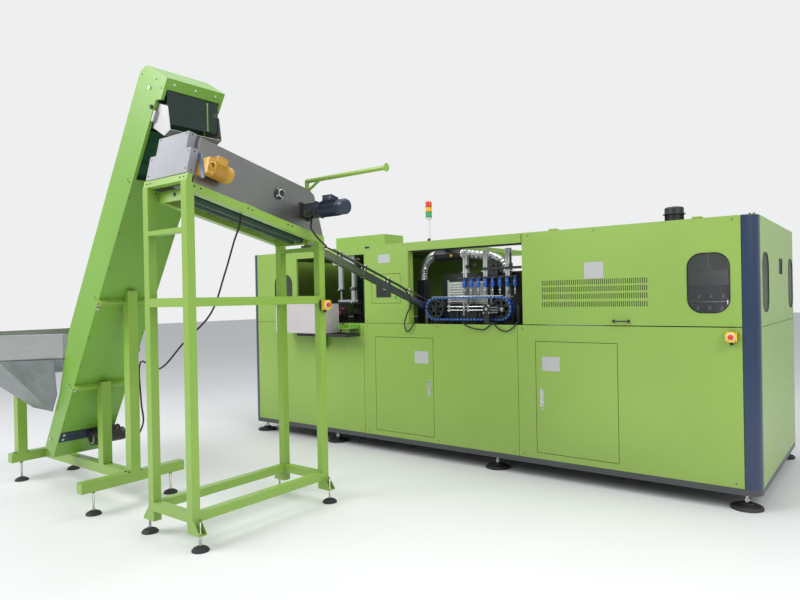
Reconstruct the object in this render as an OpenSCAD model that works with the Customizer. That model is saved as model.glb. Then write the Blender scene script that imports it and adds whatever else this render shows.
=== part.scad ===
/* [Cabinet] */
// Length of the front panels between the corner posts
cab_len = 5360; // [5200:10:5600]
// Depth of the cabinet over its front and rear panels
cab_depth = 2060; // [2030:5:2200]
// Height of the roof above the floor
cab_top = 2170; // [2150:10:2240]
// Height of the split between the lower and the upper panels
split_z = 1350; // [1300:10:1380]
// Height of the panels' lower edge above the floor
skirt_z = 170; // [150:5:200]
// Radius of the quarter-round corner posts
post_r = 105; // [90:5:110]
// Wall of the corner posts
post_wall = 4; // [3:0.5:6]
// Sheet thickness of the panels
sheet_t = 2; // [1.5:0.5:3]
// Depth of the panels' folded edges
fold_d = 25; // [20:1:30]
// Gap between neighbouring panels
seam = 4; // [2:1:6]
// Side of the square tubes in the cabinet frame
tube = 50; // [40:5:60]

/* [Openings in the front] */
// Left edge of the take-out opening
out_x0 = -4660; // [-4700:10:-4600]
// Right edge of the take-out opening
out_x1 = -3620; // [-3640:5:-3600]
// Left edge of the infeed opening
in_x0 = -3032; // [-3060:2:-3010]
// Right edge of the infeed opening, where the lift-up door begins
in_x1 = -1765; // [-1800:5:-1740]
// Height of the beam above the openings
beam_h = 85; // [70:5:100]

/* [Windows] */
// Width of a window
win_w = 295; // [260:5:320]
// Height of a window
win_h = 450; // [400:10:470]
// Corner radius of a window
win_r = 105; // [60:5:120]
// Height of the windows' lower edge above the split
win_up = 105; // [80:5:130]
// Thickness of the glazing
glaze_t = 4; // [3:1:6]

/* [Lower doors] */
// Left edge of the left door
ldoor_x0 = -3480; // [-3520:10:-3460]
// Right edge of the left door
ldoor_x1 = -2745; // [-2800:5:-2700]
// Left edge of the right door
rdoor_x0 = -1640; // [-1680:10:-1600]
// Right edge of the right door
rdoor_x1 = -920; // [-960:10:-900]
// Lower edge of the doors
door_z0 = 227; // [210:1:250]
// Upper edge of the doors
door_z1 = 1203; // [1150:1:1220]
// Gap round a door
door_gap = 4.5; // [4:0.5:6]
// Radius of the hinge pins
pin_r = 4; // [3:0.5:5]
// Width of a paddle lock
lock_w = 35; // [30:1:40]
// Height of a paddle lock
lock_h = 145; // [120:5:160]

/* [Controls] */
// Left edge of the control door
cdoor_x0 = -3517; // [-3540:1:-3500]
// Right edge of the control door
cdoor_x1 = -3137; // [-3160:1:-3120]
// Lower edge of the control door
cdoor_z0 = 1560; // [1540:5:1580]
// Upper edge of the control door
cdoor_z1 = 1860; // [1830:5:1900]
// Width of the touch screen
screen_w = 181; // [160:1:200]
// Height of the touch screen
screen_h = 147; // [130:1:160]
// Side of an emergency-stop box
estop_w = 77; // [70:1:85]
// Radius of an emergency-stop mushroom
mushroom_r = 20; // [18:1:24]
// Travel of an emergency stop
estop_stroke = 5; // [4:0.5:6]

/* [Signal tower and roof] */
// Place of the signal tower along the cabinet
tower_x = -2800; // [-2850:10:-2700]
// Radius of the tower's lamps
lamp_r = 32; // [25:1:36]
// Height of one lamp
lamp_h = 52; // [45:1:60]
// Length of the tower's pole
pole_l = 225; // [180:5:260]
// Radius of the roof fan's cowl
fan_r = 79; // [70:1:100]
// Height of the roof fan above the roof
fan_h = 185; // [140:5:220]

/* [Oven and transfer] */
// Pitch radius of the oven chain's wheels
wheel_r = 98; // [90:1:105]
// Distance between the chain wheels
wheel_gap = 740; // [700:10:750]
// Place of the right chain wheel
wheel_x = -2048; // [-2052:2:-2030]
// Height of the chain wheels' axes above the floor
wheel_z = 1493; // [1480:1:1510]
// Distance of the chain's middle plane behind the front
chain_y = 150; // [146:1:152]
// Pitch of the chain links
link_pitch = 38; // [34:1:44]
// Side of the aluminium profiles
profile_w = 45; // [40:5:50]
// Radius of the take-out wheel
star_r = 210; // [180:5:230]

/* [Blowing station] */
// Number of mould cavities
cavities = 4; // [3:1:4]
// Pitch of the cavities
cavity_pitch = 210; // [200:5:220]
// Opening stroke of each mould half
mould_stroke = 90; // [70:5:100]
// Stroke of the stretch rods
stretch_stroke = 160; // [120:5:170]
// Radius of a bottle's body in the mould
bottle_r = 36; // [30:1:40]

/* [Feeder stand] */
// Outer face of the stand towards the cabinet's right end
stand_x1 = -2735; // [-2760:5:-2700]
// Width of the stand
stand_w = 510; // [480:5:540]
// Front end of the stand
stand_y0 = -2770; // [-2800:5:-2740]
// Length of the stand
stand_l = 1260; // [1230:10:1280]
// Side of the stand's square tubes
leg_w = 60; // [50:5:70]
// Height of the stand's top at its front end
stand_top = 2403; // [2380:1:2430]
// Fall of the stand's top towards the cabinet, in degrees
fall = 13; // [10:0.5:15]
// Height of the lower rails' underside
low_rail_z = 172; // [160:2:190]
// Height of the middle rails' underside
mid_rail_z = 1578; // [1500:2:1600]

/* [Unscrambler] */
// Height of the trough's side sheets
trough_h = 315; // [280:5:330]
// Radius of the sorting rollers
roller_r = 36; // [33:1:38]
// Gap between the sorting rollers
roller_gap = 26; // [22:1:32]
// Radius of the roller shafts
shaft_r = 12; // [10:1:14]
// Running clearance round a shaft
run = 0.08; // [0.03:0.01:0.09]
// Height of the upper end of the chute above the floor
chute_z0 = 2096; // [2080:2:2110]
// Height of the lower end of the chute above the floor
chute_z1 = 1520; // [1480:2:1530]

/* [Elevator] */
// Width of the elevator's casing
lift_w = 480; // [460:10:520]
// Middle plane of the elevator
lift_y = -2450; // [-2470:5:-2430]
// Lean of the elevator from upright, in degrees
lean = 31.35; // [30.5:0.05:32]
// Length of the casing along the lean
case_l = 3370; // [3340:5:3400]
// Depth of the casing from its belly to its back
case_d = 290; // [280:2:300]
// Depth of the casing at the boot
boot_d = 165; // [160:1:175]
// Wall of the casing
case_t = 4; // [3:0.5:5]
// Radius of the belt drums
drum_r = 50; // [46:1:54]
// Height of the belt's cleats
cleat_h = 45; // [35:1:48]
// Pitch of the belt's cleats
cleat_pitch = 250; // [200:10:300]
// Side of the square tubes in the elevator's base
base_w = 80; // [70:5:90]

/* [Hopper] */
// Length of the hopper's bin
bin_l = 1030; // [960:10:1100]
// Width of the hopper's bin
bin_w = 1240; // [1100:20:1300]
// Height of the hopper's rim above the floor
rim_z = 1364; // [1340:2:1380]
// Height of the hopper's upright walls
rim_h = 215; // [190:5:240]
// Sheet thickness of the hopper
hopper_t = 3; // [2:0.5:4]

/* [Feet] */
// Radius of the cabinet's round mounts
mount_r = 113; // [100:1:125]
// Radius of the levelling feet
pad_r = 57; // [50:1:65]
// Radius of the levelling feet's studs
stud_r = 8; // [7:0.5:10]

/* [Hidden] */
$fn = 48;
fit = 0.3;
lime = "#97c93d";
navy = "#2f4a73";
steel = "silver";

rear_y = cab_depth;
side_y0 = post_r;
side_y1 = cab_depth - post_r;
end_x1 = post_r;
end_x0 = -cab_len - post_r;
frame_y0 = fold_d;
frame_y1 = cab_depth - fold_d;
base_h = 50;
base_z = skirt_z - base_h;
seam_x = [-3643, -1816];
beam_z = cab_top - beam_h;
bed_t = 25;
bed_z = split_z - 12;
rail_z = bed_z - bed_t - tube;
front_posts = [-cab_len, -3643 - tube / 2, -1816 - tube / 2, -tube];
upper_posts = [-cab_len, out_x1 + 2, in_x0 - tube + 7, in_x1 + 5, -tube];
stand_x0 = stand_x1 - stand_w;
stand_y1 = stand_y0 + stand_l;
rail_x = -2940;
roller_n = -40;
roller_s0 = 110;
roller_s1 = 1190;
lift_x0 = -4848;
lift_z0 = 300;
belt_t = 6;
belt_n = -(drum_r + belt_t + cleat_h + 8);
tail_u = 115;
head_u = case_l - 130;
bin_x1 = -4920;
bin_x0 = bin_x1 - bin_l;
hop_x1 = -4520;
cross_x = -3995;
back_x = -5500;
foot_top = 100;

// Half-widths that the machine reaches, so that its middle lies at the origin
reach_x0 = bin_x0;
reach_y0 = lift_y - bin_w / 2;
mid_x = (reach_x0 + end_x1) / 2;
mid_y = (reach_y0 + rear_y) / 2;

// A box between two corners
module block(a, b) { translate(a) cube(b - a); }

// A flat shape in the XZ plane, thick along +Y from y
module upright(y, t) { translate([0, y + t, 0]) rotate([90, 0, 0]) linear_extrude(t) children(); }

// A rectangle with round corners, from its lower left corner
module round_rect(w, h, r) {
    translate([r, 0]) square([w - 2 * r, h]);
    translate([0, r]) square([w, h - 2 * r]);
    for (x = [r, w - r], y = [r, h - r]) translate([x, y]) circle(r);
}

// A panel with its face at y = 0, its edges folded back
module tray(x0, x1, z0, z1, d = fold_d, t = sheet_t) {
    difference() {
        block([x0, 0, z0], [x1, d, z1]);
        block([x0 + t, t, z0 + t], [x1 - t, d + 1, z1 - t]);
    }
}

// A cut through a front panel
module front_cut(x0, x1, z0, z1) { block([x0, -1, z0], [x1, fold_d + 1, z1]); }

// A round bar between a point and a length along an axis
module bar_x(p, l, r) { translate(p) rotate([0, 90, 0]) cylinder(h = l, r = r); }
module bar_y(p, l, r) { translate(p) rotate([-90, 0, 0]) cylinder(h = l, r = r); }
module bar_z(p, l, r) { translate(p) cylinder(h = l, r = r); }

// A ring of bolts' heads round an axis along +Z
module bolt_ring(n, pcr, r, h) { for (i = [0:n - 1]) rotate(360 * (i + 0.5) / n) translate([pcr, 0, 0])
    cylinder(h = h, r = r, $fn = 6); }

// Window cut-outs and panes: face "front" at y, or "end" at x
module window_shape(grow = 0) {
    translate([-grow, -grow]) round_rect(win_w + 2 * grow, win_h + 2 * grow, win_r + grow);
}
left_win_x = 323 - cab_len;
lift_win_x = -375;
win_z = split_z + win_up;
end_wins = [190, cab_depth - 430];
peep = [1050, 1755, 178, 130];

module end_face(x, t) { translate([x, 0, 0]) rotate([90, 0, 90]) linear_extrude(t) children(); }

module end_window_cuts(grow = 0) {
    for (y = end_wins) translate([y, win_z]) window_shape(grow);
    translate([peep[0] - grow, peep[1] - grow]) round_rect(peep[2] + 2 * grow, peep[3] + 2 * grow, 12);
}

// Cabinet
base_rim = 130;
hang_x = -2775;
module base_frame() {
    inset = 2;
    w = end_x1 - end_x0 - 2 * inset;
    color("#3c4043") {
        translate([end_x0 + inset, inset, base_z]) linear_extrude(base_h) difference() {
            round_rect(w, rear_y - 2 * inset, post_r - inset);
            translate([base_rim, base_rim]) square([w - 2 * base_rim, rear_y - 2 * inset - 2 * base_rim]);
        }
        for (x = [-4150, -2100]) block([x - 60, base_rim, base_z], [x + 60, rear_y - base_rim, skirt_z]);
        block([end_x0 + base_rim, base_rim, skirt_z - 6], [end_x1 - base_rim, rear_y - base_rim, skirt_z]);
    }
}

foot_x = [-10, -2100, -4150, 10 - cab_len];
module machine_feet() {
    color("#26292b") for (x = foot_x, y = [112, rear_y - 112]) translate([x, y, 0]) {
        rotate_extrude() polygon([[0, 0], [mount_r, 0], [mount_r, 14], [mount_r - 12, 24],
            [48, 34], [40, 46], [16, 46], [16, 60], [12, 60], [12, base_z], [0, base_z]]);
        translate([0, 0, 60]) cylinder(h = 16, r = 21, $fn = 6);
    }
    levelling_feet();
}

// Tubes cut to length, each a hair short of the one it meets
module body_frame() {
    top = cab_top - 12;
    color(lime) {
        for (x = front_posts, y = [frame_y0, frame_y1 - tube])
            block([x, y, skirt_z], [x + tube, y + tube, rail_z - fit]);
        for (y = [frame_y0, frame_y1 - tube]) {
            block([-cab_len, y, rail_z], [0, y + tube, rail_z + tube]);
            block([-cab_len, y, top - tube], [0, y + tube, top]);
            for (x = upper_posts) block([x, y, rail_z + tube + fit], [x + tube, y + tube, top - tube - fit]);
        }
        for (x = [-cab_len, front_posts[1], front_posts[2], -tube])
            block([x, frame_y0 + tube + fit, rail_z], [x + tube, frame_y1 - tube - fit, rail_z + tube]);
        for (x = [-cab_len, in_x0 - tube + 7, hang_x, in_x1 + 5, -tube])
            block([x, frame_y0 + tube + fit, top - tube], [x + tube, frame_y1 - tube - fit, top]);
    }
}

// A quarter-round shell at the origin, bulging towards +X and -Y
module corner_shell(z0, z1) {
    translate([0, 0, z0]) difference() {
        intersection() {
            cylinder(h = z1 - z0, r = post_r);
            block([0, -post_r, 0], [post_r, 0, z1 - z0]);
        }
        translate([0, 0, -1]) intersection() {
            cylinder(h = z1 - z0 + 2 - post_wall, r = post_r - post_wall);
            block([post_wall, -post_r, -1], [post_r, -post_wall, z1 - z0]);
        }
    }
}

module corner_posts() {
    color(navy) {
        translate([0, post_r, 0]) corner_shell(skirt_z, cab_top);
        translate([0, side_y1, 0]) mirror([0, 1, 0]) corner_shell(skirt_z, cab_top);
        translate([-cab_len, post_r, 0]) mirror([1, 0, 0]) corner_shell(skirt_z, cab_top);
        translate([-cab_len, side_y1, 0]) mirror([1, 0, 0]) mirror([0, 1, 0]) corner_shell(skirt_z, cab_top);
    }
}

pivot = 9;
lug_t = 12;

// Lugs behind a panel, above and below an opening, bored for a door's pins
module pivot_lugs(x, z0, z1) {
    for (z = [z0 - door_gap - lug_t, z1 + door_gap]) difference() {
        block([x - 14, sheet_t / 2, z], [x + 30, pivot + 11, z + lug_t]);
        bar_z([x, pivot, z - 1], lug_t + 2, pin_r + run);
    }
}

// Pins that stand out of a door's top and bottom folds
module pivot_pins(x, z0, z1) {
    bar_z([x, pivot, z0 - door_gap - lug_t + 2], door_gap + lug_t + 6, pin_r);
    bar_z([x, pivot, z1 - 8], door_gap + lug_t + 6, pin_r);
}

module front_panels() {
    edges = [-cab_len + seam / 2, seam_x[0], seam_x[1], -seam / 2];
    color(lime) {
        difference() {
            for (i = [0:2]) tray(edges[i] + seam / 2, edges[i + 1] - seam / 2, skirt_z, split_z - seam);
            front_cut(ldoor_x0 - door_gap, ldoor_x1 + door_gap, door_z0 - door_gap, door_z1 + door_gap);
            front_cut(rdoor_x0 - door_gap, rdoor_x1 + door_gap, door_z0 - door_gap, door_z1 + door_gap);
        }
        difference() {
            tray(-cab_len + seam, out_x0, split_z, cab_top);
            translate([left_win_x, 0, win_z]) upright(-1, fold_d) window_shape();
        }
        tray(out_x0 + fit, out_x1 - fit, beam_z, cab_top);
        difference() {
            tray(out_x1, in_x0 - 1, split_z, cab_top);
            front_cut(cdoor_x0 - door_gap, cdoor_x1 + door_gap, cdoor_z0 - door_gap, cdoor_z1 + door_gap);
        }
        tray(in_x0 + 1, in_x1 - 3, beam_z, cab_top);
        block([-4410, -2, 1060], [-3930, 0.1, 1180]);
        pivot_lugs(lpin_x, door_z0, door_z1);
        pivot_lugs(rpin_x, door_z0, door_z1);
        pivot_lugs(cpin_x, cdoor_z0, cdoor_z1);
    }
}

module end_panels() {
    color(lime) for (side = [0, 1]) difference() {
        union() {
            translate([end_x1, side_y0 + fit, 0]) end_tray(side, skirt_z, split_z - seam);
            translate([end_x1, side_y0 + fit, 0]) end_tray(side, split_z, cab_top);
        }
        if (side == 0) end_face(end_x1 - fold_d - 1, fold_d + 2) end_window_cuts();
    }
}

// An end panel's tray: side 0 is the right end, side 1 the left
module end_tray(side, z0, z1) {
    w = side_y1 - side_y0 - 2 * fit;
    if (side == 0) rotate([0, 0, 90]) tray(0, w, z0, z1);
    else translate([end_x0 - end_x1, w, 0]) rotate([0, 0, -90]) tray(0, w, z0, z1);
}

module rear_panels() {
    edges = [-cab_len, seam_x[0], seam_x[1], 0];
    color(lime) translate([0, rear_y, 0]) mirror([0, 1, 0]) {
        for (i = [0:2]) tray(edges[i] + seam / 2, edges[i + 1] - seam / 2, skirt_z, split_z - seam);
        tray(-cab_len + seam, in_x0 - 1, split_z, cab_top);
        tray(in_x1 + 2, -seam, split_z, cab_top);
    }
}

roof_t = 12;
top_pin_y = 4;
top_pin_h = 9;
lift_hinge_x = [in_x1 + 300, -300];
box_h = 190;
module roof_panels() {
    inset = fold_d + 1;
    color(lime) {
        for (r = [[-cab_len + 2, in_x0 + 5], [in_x1 + 3, -2]]) difference() {
            block([r[0], inset, cab_top - roof_t], [r[1], rear_y - inset, cab_top]);
            block([r[0] + 3, inset + 3, cab_top - roof_t - 1], [r[1] - 3, rear_y - inset - 3, cab_top - 3]);
        }
        for (x = lift_hinge_x, k = [-1, 1]) difference() {
            union() {
                block([x + k * 24 - 10, 30, cab_top - 1], [x + k * 24 + 10, 70, cab_top + 12]);
                block([x + k * 24 - 10, top_pin_y, cab_top + 4], [x + k * 24 + 10, 31, cab_top + 12]);
                bar_x([x + k * 24 - 10, top_pin_y, cab_top + top_pin_h], 20, 8);
            }
            bar_x([x - 40, top_pin_y, cab_top + top_pin_h], 80, pin_r + run);
        }
        difference() {
            block([-4600, 620, cab_top + fit], [-3830, 980, cab_top + box_h]);
            block([-4597, 623, cab_top - 1], [-3833, 977, cab_top + box_h - 3]);
        }
    }
}

module window_glazing() {
    color("lightcyan", 0.4) {
        translate([left_win_x, 0, win_z]) upright(sheet_t, glaze_t) window_shape(12);
        end_face(end_x1 - sheet_t - glaze_t, glaze_t) end_window_cuts(8);
    }
}

lock_z = 635;
dish = 18;
lock_pin_z = lock_z + lock_h - 8;
lock_pin_y = 6;
llock_x = -2798;
rlock_x = -1588;
lpin_x = ldoor_x0 + pivot;
rpin_x = rdoor_x1 - pivot;

// A lower door with pins at hx and a dish for its paddle
module lower_door(x0, x1, hx, lx) {
    color(lime) {
        difference() {
            union() {
                tray(x0, x1, door_z0, door_z1, fold_d - 5);
                block([lx - lock_w / 2 - 3, sheet_t / 2, lock_z - 3], [lx + lock_w / 2 + 3, dish, lock_z + lock_h + 8]);
            }
            block([lx - lock_w / 2, -1, lock_z], [lx + lock_w / 2, dish - 2, lock_z + lock_h + 5]);
            bar_x([lx - lock_w, lock_pin_y, lock_pin_z], 2 * lock_w, 3 + run);
        }
        pivot_pins(hx, door_z0, door_z1);
    }
}
module left_door() { lower_door(ldoor_x0, ldoor_x1, lpin_x, llock_x); }
module right_door() { lower_door(rdoor_x0, rdoor_x1, rpin_x, rlock_x); }

// A flush paddle that swings out about a pin near its top
module paddle(x) {
    w = lock_w - 2;
    color(steel) {
        difference() {
            block([x - w / 2, -1.5, lock_z + 1], [x + w / 2, 4, lock_z + lock_h - 2]);
            block([x - w / 2 + 6, -2, lock_z + 8], [x + w / 2 - 6, 0, lock_z + 34]);
        }
        block([x - w / 2 + 4, 3, lock_pin_z - 5], [x + w / 2 - 4, 10, lock_pin_z + 5]);
        bar_x([x - lock_w / 2 - 2, lock_pin_y, lock_pin_z], lock_w + 4, 3);
    }
}
module left_lock() { paddle(llock_x); }
module right_lock() { paddle(rlock_x); }

slot_rows = [1507, 1574, 1635, 1693];
slot_n = 54;
slot_pitch = 16.8;
slot_x0 = -1570;
module lift_door() {
    color(lime) difference() {
        tray(in_x1 + 5, -seam, split_z + 4, cab_top, fold_d - 2);
        translate([lift_win_x, 0, win_z]) upright(-1, fold_d) window_shape();
        for (z = slot_rows, i = [0:slot_n - 1])
            block([slot_x0 + i * slot_pitch, -1, z], [slot_x0 + i * slot_pitch + 7, sheet_t + 1, z + 44]);
    }
    color(lime) for (x = lift_hinge_x) {
        block([x - 13, 0, cab_top - 1], [x + 13, top_pin_y + 4, cab_top + top_pin_h]);
        bar_x([x - 13, top_pin_y, cab_top + top_pin_h], 26, 8);
        bar_x([x - 36, top_pin_y, cab_top + top_pin_h], 72, pin_r);
    }
}

handle_x = -882;
handle_z = 1388;
module lift_handle() {
    w = 120;
    r = 6;
    color("#707478") {
        for (x = [-w / 2, w / 2]) {
            bar_y([handle_x + x, -38, handle_z], 38, r);
            bar_y([handle_x + x, -3, handle_z], 3, 11);
            translate([handle_x + x, -38, handle_z]) sphere(r);
        }
        bar_x([handle_x - w / 2, -38, handle_z], w, r);
    }
}

module lift_glazing() {
    color("lightcyan", 0.4) translate([lift_win_x, 0, win_z]) upright(sheet_t, glaze_t) window_shape(12);
}

cpin_x = cdoor_x0 + pivot;
screen_x = -3446;
screen_z = 1626;
start_at = [-3196, 1620];
stop_at = [-3196, 1702];
button_r = 11;
module control_door() {
    color(lime) difference() {
        tray(cdoor_x0, cdoor_x1, cdoor_z0, cdoor_z1, fold_d - 5);
        block([screen_x, -1, screen_z], [screen_x + screen_w, sheet_t + 1, screen_z + screen_h]);
        for (p = [start_at, stop_at]) bar_y([p[0], -1, p[1]], sheet_t + 2, button_r + 0.5);
    }
    color("#888c90") for (p = [start_at, stop_at]) difference() {
        bar_y([p[0], -3, p[1]], 24, button_r + 4);
        bar_y([p[0], -4, p[1]], 20, button_r + 0.5);
        bar_y([p[0], 15, p[1]], 10, 4);
    }
    color(lime) pivot_pins(cpin_x, cdoor_z0, cdoor_z1);
}

module touch_screen() {
    color("#2a2d33") difference() {
        union() {
            block([screen_x - 6, -5, screen_z - 6], [screen_x + screen_w + 6, 0, screen_z + screen_h + 6]);
            block([screen_x + fit, -1, screen_z + fit], [screen_x + screen_w - fit, 18, screen_z + screen_h - fit]);
        }
        block([screen_x + 8, -6, screen_z + 8], [screen_x + screen_w - 8, -3.5, screen_z + screen_h - 8]);
    }
}

// A flat push-button in its collar
module push_button(p, c) {
    color(c) union() {
        bar_y([p[0], -9, p[1]], 14, button_r);
        bar_y([p[0], 5, p[1]], 12, 3.5);
    }
}
module start_button() { push_button(start_at, "seagreen"); }
module stop_button() { push_button(stop_at, "firebrick"); }

estop_x = -70;
estop_z = 1280;
box_d = 55;
stand_box = [stand_x1, stand_y1 - leg_w / 2, 1566];

// An emergency-stop box with its face towards -Y, its back on the plane y = 0
module estop_box() {
    difference() {
        upright(-box_d, box_d) translate([-estop_w / 2, -estop_w / 2]) round_rect(estop_w, estop_w, 6);
        bar_y([0, -box_d - 1, 0], 34, 9.3);
    }
}
module estop_boxes() {
    color("gold") {
        translate([estop_x, 0, estop_z]) estop_box();
        translate(stand_box) rotate([0, 0, 90]) estop_box();
    }
}

// A mushroom head on a stem that slides in the box
module mushroom() {
    translate([0, -box_d, 0]) rotate([90, 0, 0]) rotate_extrude() polygon([[0, -26], [9, -26], [9, 6.5],
        [mushroom_r, 9], [mushroom_r, 15], [mushroom_r - 3, 20], [9, 23], [0, 23.5]]);
}
module estop_button() { color("red") translate([estop_x, 0, estop_z]) mushroom(); }
module stand_estop_button() { color("red") translate(stand_box) rotate([0, 0, 90]) mushroom(); }

tower_y = 52;
module tower_pole() {
    color("whitesmoke") {
        bar_z([tower_x, tower_y, cab_top - roof_t], 8, 22);
        bar_z([tower_x, tower_y, cab_top - roof_t], pole_l + roof_t, 14);
        bar_z([tower_x, tower_y, cab_top + pole_l], 16, lamp_r);
    }
}
module tower_lamps() {
    color("orangered") for (i = [0:2])
        translate([tower_x, tower_y, cab_top + pole_l + 16 + fit + i * (lamp_h + fit)])
            rotate_extrude() polygon([[0, 0], [lamp_r - 1, 0], [lamp_r - 1, lamp_h - (i == 2 ? 6 : 0)],
                [lamp_r - (i == 2 ? 7 : 1), lamp_h], [0, lamp_h]]);
}

fan_at = [-640, 700];
module roof_fan() {
    color("#2b2d2f") translate([fan_at[0], fan_at[1], cab_top]) {
        rotate_extrude() polygon([[0, 0], [fan_r + 22, 0], [fan_r + 22, 6], [fan_r - 8, 8], [fan_r - 8, fan_h - 62],
            [fan_r + 14, fan_h - 62], [fan_r + 14, fan_h - 56], [fan_r, fan_h - 54], [fan_r, fan_h - 8],
            [fan_r - 8, fan_h], [0, fan_h]]);
    }
}

// Machinery on the bed
module machine_bed() {
    color("#222427") difference() {
        block([-cab_len + 10, frame_y0 + 3, bed_z - bed_t], [-10, frame_y1 - 3, bed_z]);
        block([out_x0 + 260, 500, bed_z - bed_t - 1], [out_x1 - 260, 900, bed_z + 1]);
        for (x = upper_posts, y = [frame_y0, frame_y1 - tube])
            block([x - fit, y - 1, bed_z - bed_t - 1], [x + tube + fit, y + tube + fit, bed_z + 1]);
    }
}

duct_y = 335;
rack_y = 258;
profile_x = [-2503, -2272, -2030];
chain_w = 70;
chain_t = 16;
oven_y0 = chain_y - chain_w / 2;
wheel_x0 = wheel_x - wheel_gap;
plate_t = 12;

// Point and angle on the chain's path, s along it from the lower left
function chain_at(s, r) =
    let (a = PI * r, g = wheel_gap)
    s < g ? [wheel_x0 + s, wheel_z - r, 0] :
    s < g + a ? let (t = (s - g) / r * 180 / PI) [wheel_x + r * sin(t), wheel_z - r * cos(t), -t] :
    s < 2 * g + a ? [wheel_x - (s - g - a), wheel_z + r, 180] :
    let (t = (s - 2 * g - a) / r * 180 / PI) [wheel_x0 - r * sin(t), wheel_z + r * cos(t), 180 - t];

// The outline round both chain wheels at a radius
module stadium(r) {
    translate([wheel_x0, wheel_z]) circle(r);
    translate([wheel_x, wheel_z]) circle(r);
    translate([wheel_x0, wheel_z - r]) square([wheel_gap, 2 * r]);
}

module oven_chain() {
    mean = wheel_r + chain_t / 2;
    total = 2 * wheel_gap + 2 * PI * mean;
    n = floor(total / link_pitch);
    color("royalblue") {
        for (y = [oven_y0 + 8, oven_y0 + chain_w - 14]) upright(y, 6) difference() {
            stadium(wheel_r + chain_t - 3);
            stadium(wheel_r + 2);
        }
        for (i = [0:n - 1]) let (p = chain_at(i * total / n, mean))
            translate([p[0], oven_y0, p[1]]) rotate([0, p[2], 0])
                block([-link_pitch * 0.4, 0, 2.5 - chain_t / 2], [link_pitch * 0.4, chain_w, chain_t / 2]);
        for (i = [0:chuck_n - 1]) translate([-2500 + i * 80, chuck_y, rack_z]) rotate_extrude()
            polygon([[0, -162], [8, -162], [11, -156], [11, -135], [7, -130], [7, -90], [15, -90], [20, -82],
                [20, -45], [15, -38], [15, -fit], [0, -fit]]);
    }
}

// A chain wheel with lightening holes on a shaft towards +Y
module chain_wheel(x) {
    color("#2e3033") difference() {
        union() {
            bar_y([x, oven_y0 + 4, wheel_z], chain_w - 8, wheel_r - fit);
            bar_y([x, oven_y0 - 12, wheel_z], chain_w + plate_t + 34, 16);
        }
        for (a = [0:60:300]) bar_y([x + 56 * cos(a), oven_y0 - 1, wheel_z + 56 * sin(a)], chain_w + 2, 17);
        bar_y([x, oven_y0 - 1, wheel_z], 18, 80);
    }
    color("#2e3033") bar_y([x, oven_y0 - 12, wheel_z], 30, 30);
}
module drive_wheel() { chain_wheel(wheel_x); }
module idle_wheel() { chain_wheel(wheel_x0); }

oven_plate_y = oven_y0 + chain_w + 6;
chuck_n = 8;
chuck_y = rack_y - profile_w / 2 - 21.5;
rack_z = 1790;
house = [-2880, 400, -1900, 800, 1850];
module oven_frame() {
    front = rack_y - profile_w / 2;
    color("#2b2d30") {
        difference() {
            union() {
                block([wheel_x0 - 70, oven_plate_y, bed_z], [wheel_x + 70, oven_plate_y + plate_t, wheel_z + 40]);
                for (x = [wheel_x0, wheel_x]) bar_y([x, oven_plate_y, wheel_z], plate_t, 62);
            }
            for (x = [wheel_x0, wheel_x]) bar_y([x, oven_plate_y - 1, wheel_z], plate_t + 2, 16 + run);
        }
        difference() {
            block([house[0], house[1], bed_z], [house[2], house[3], house[4]]);
            block([house[0] + 3, house[1] + 3, bed_z - 1], [house[2] - 3, house[3] + 1, house[4] - 3]);
        }
        block([-2294, front - 18, 1865], [-1882, front, 1890]);
        block([-2241, front, 1814], [-2137, front + 48, 1948]);
        block([-2560, chuck_y - 20, rack_z], [-1910, front, rack_z + 12]);
        block([profile_x[1] + profile_w / 2, rack_y - 12, 1726], [profile_x[2] - profile_w / 2, rack_y - 2, 1784]);
        block([profile_x[2] + profile_w / 2, rack_y - 12, 1726], [-1905, rack_y - 2, 1784]);
        block([-3130, duct_y - 46, bed_z], [-3040, duct_y + 46, 1790]);
        block([-2155, duct_y - 46, 1700], [-2055, house[1], 1830]);
        block([in_x0 + 20, frame_y0 + 5, 2070], [in_x1 - 10, frame_y0 + 38, cab_top - tube - 12 - fit]);
    }
    color("gainsboro") for (i = [0:8]) {
        z = wheel_z + 44 + i * 26;
        block([wheel_x0 + 30, house[1] - 60, z], [wheel_x - 230, house[1] - 48, z + 18]);
    }
    color("silver") for (x = [wheel_x0 + 10, wheel_x - 230])
        block([x, house[1] - 64, bed_z], [x + 20, house[1] - 44, wheel_z + 290]);
}

// Gear motor before the drive wheel, on a foot of its own
module oven_motor() {
    x = wheel_x - 77;
    y0 = frame_y0 + 7;
    y1 = oven_y0 - 15;
    ym = (y0 + y1) / 2;
    color("#33363a") {
        block([x - 65, y0, wheel_z - 48], [x + 10, y1, wheel_z + 32]);
        block([x + 10, y0 + 8, wheel_z - 36], [x + 96, y1 - 8, wheel_z + 20]);
        block([x - 53, y0 + 10, bed_z], [x - 3, y1 - 10, wheel_z - 48]);
        bar_x([x + 96, ym, wheel_z - 8], 22, 20);
    }
}
module oven_drives() {
    oven_motor();
    blower();
}

blower_y = duct_y;
blower_z = 2043;
blower_r = 55;
module blower() {
    color("#1f2123") {
        translate([-2912, blower_y, blower_z]) rotate([0, 90, 0]) rotate_extrude() polygon([[0, 0], [40, 0],
            [blower_r, 12], [blower_r, 150], [blower_r - 6, 154], [blower_r - 6, 165], [blower_r, 168],
            [blower_r, 300], [blower_r - 14, 312], [0, 312]]);
        block([-2800, blower_y - 40, blower_z + blower_r - 8], [-2700, blower_y + 40, cab_top - tube - 12]);
    }
}

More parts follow.
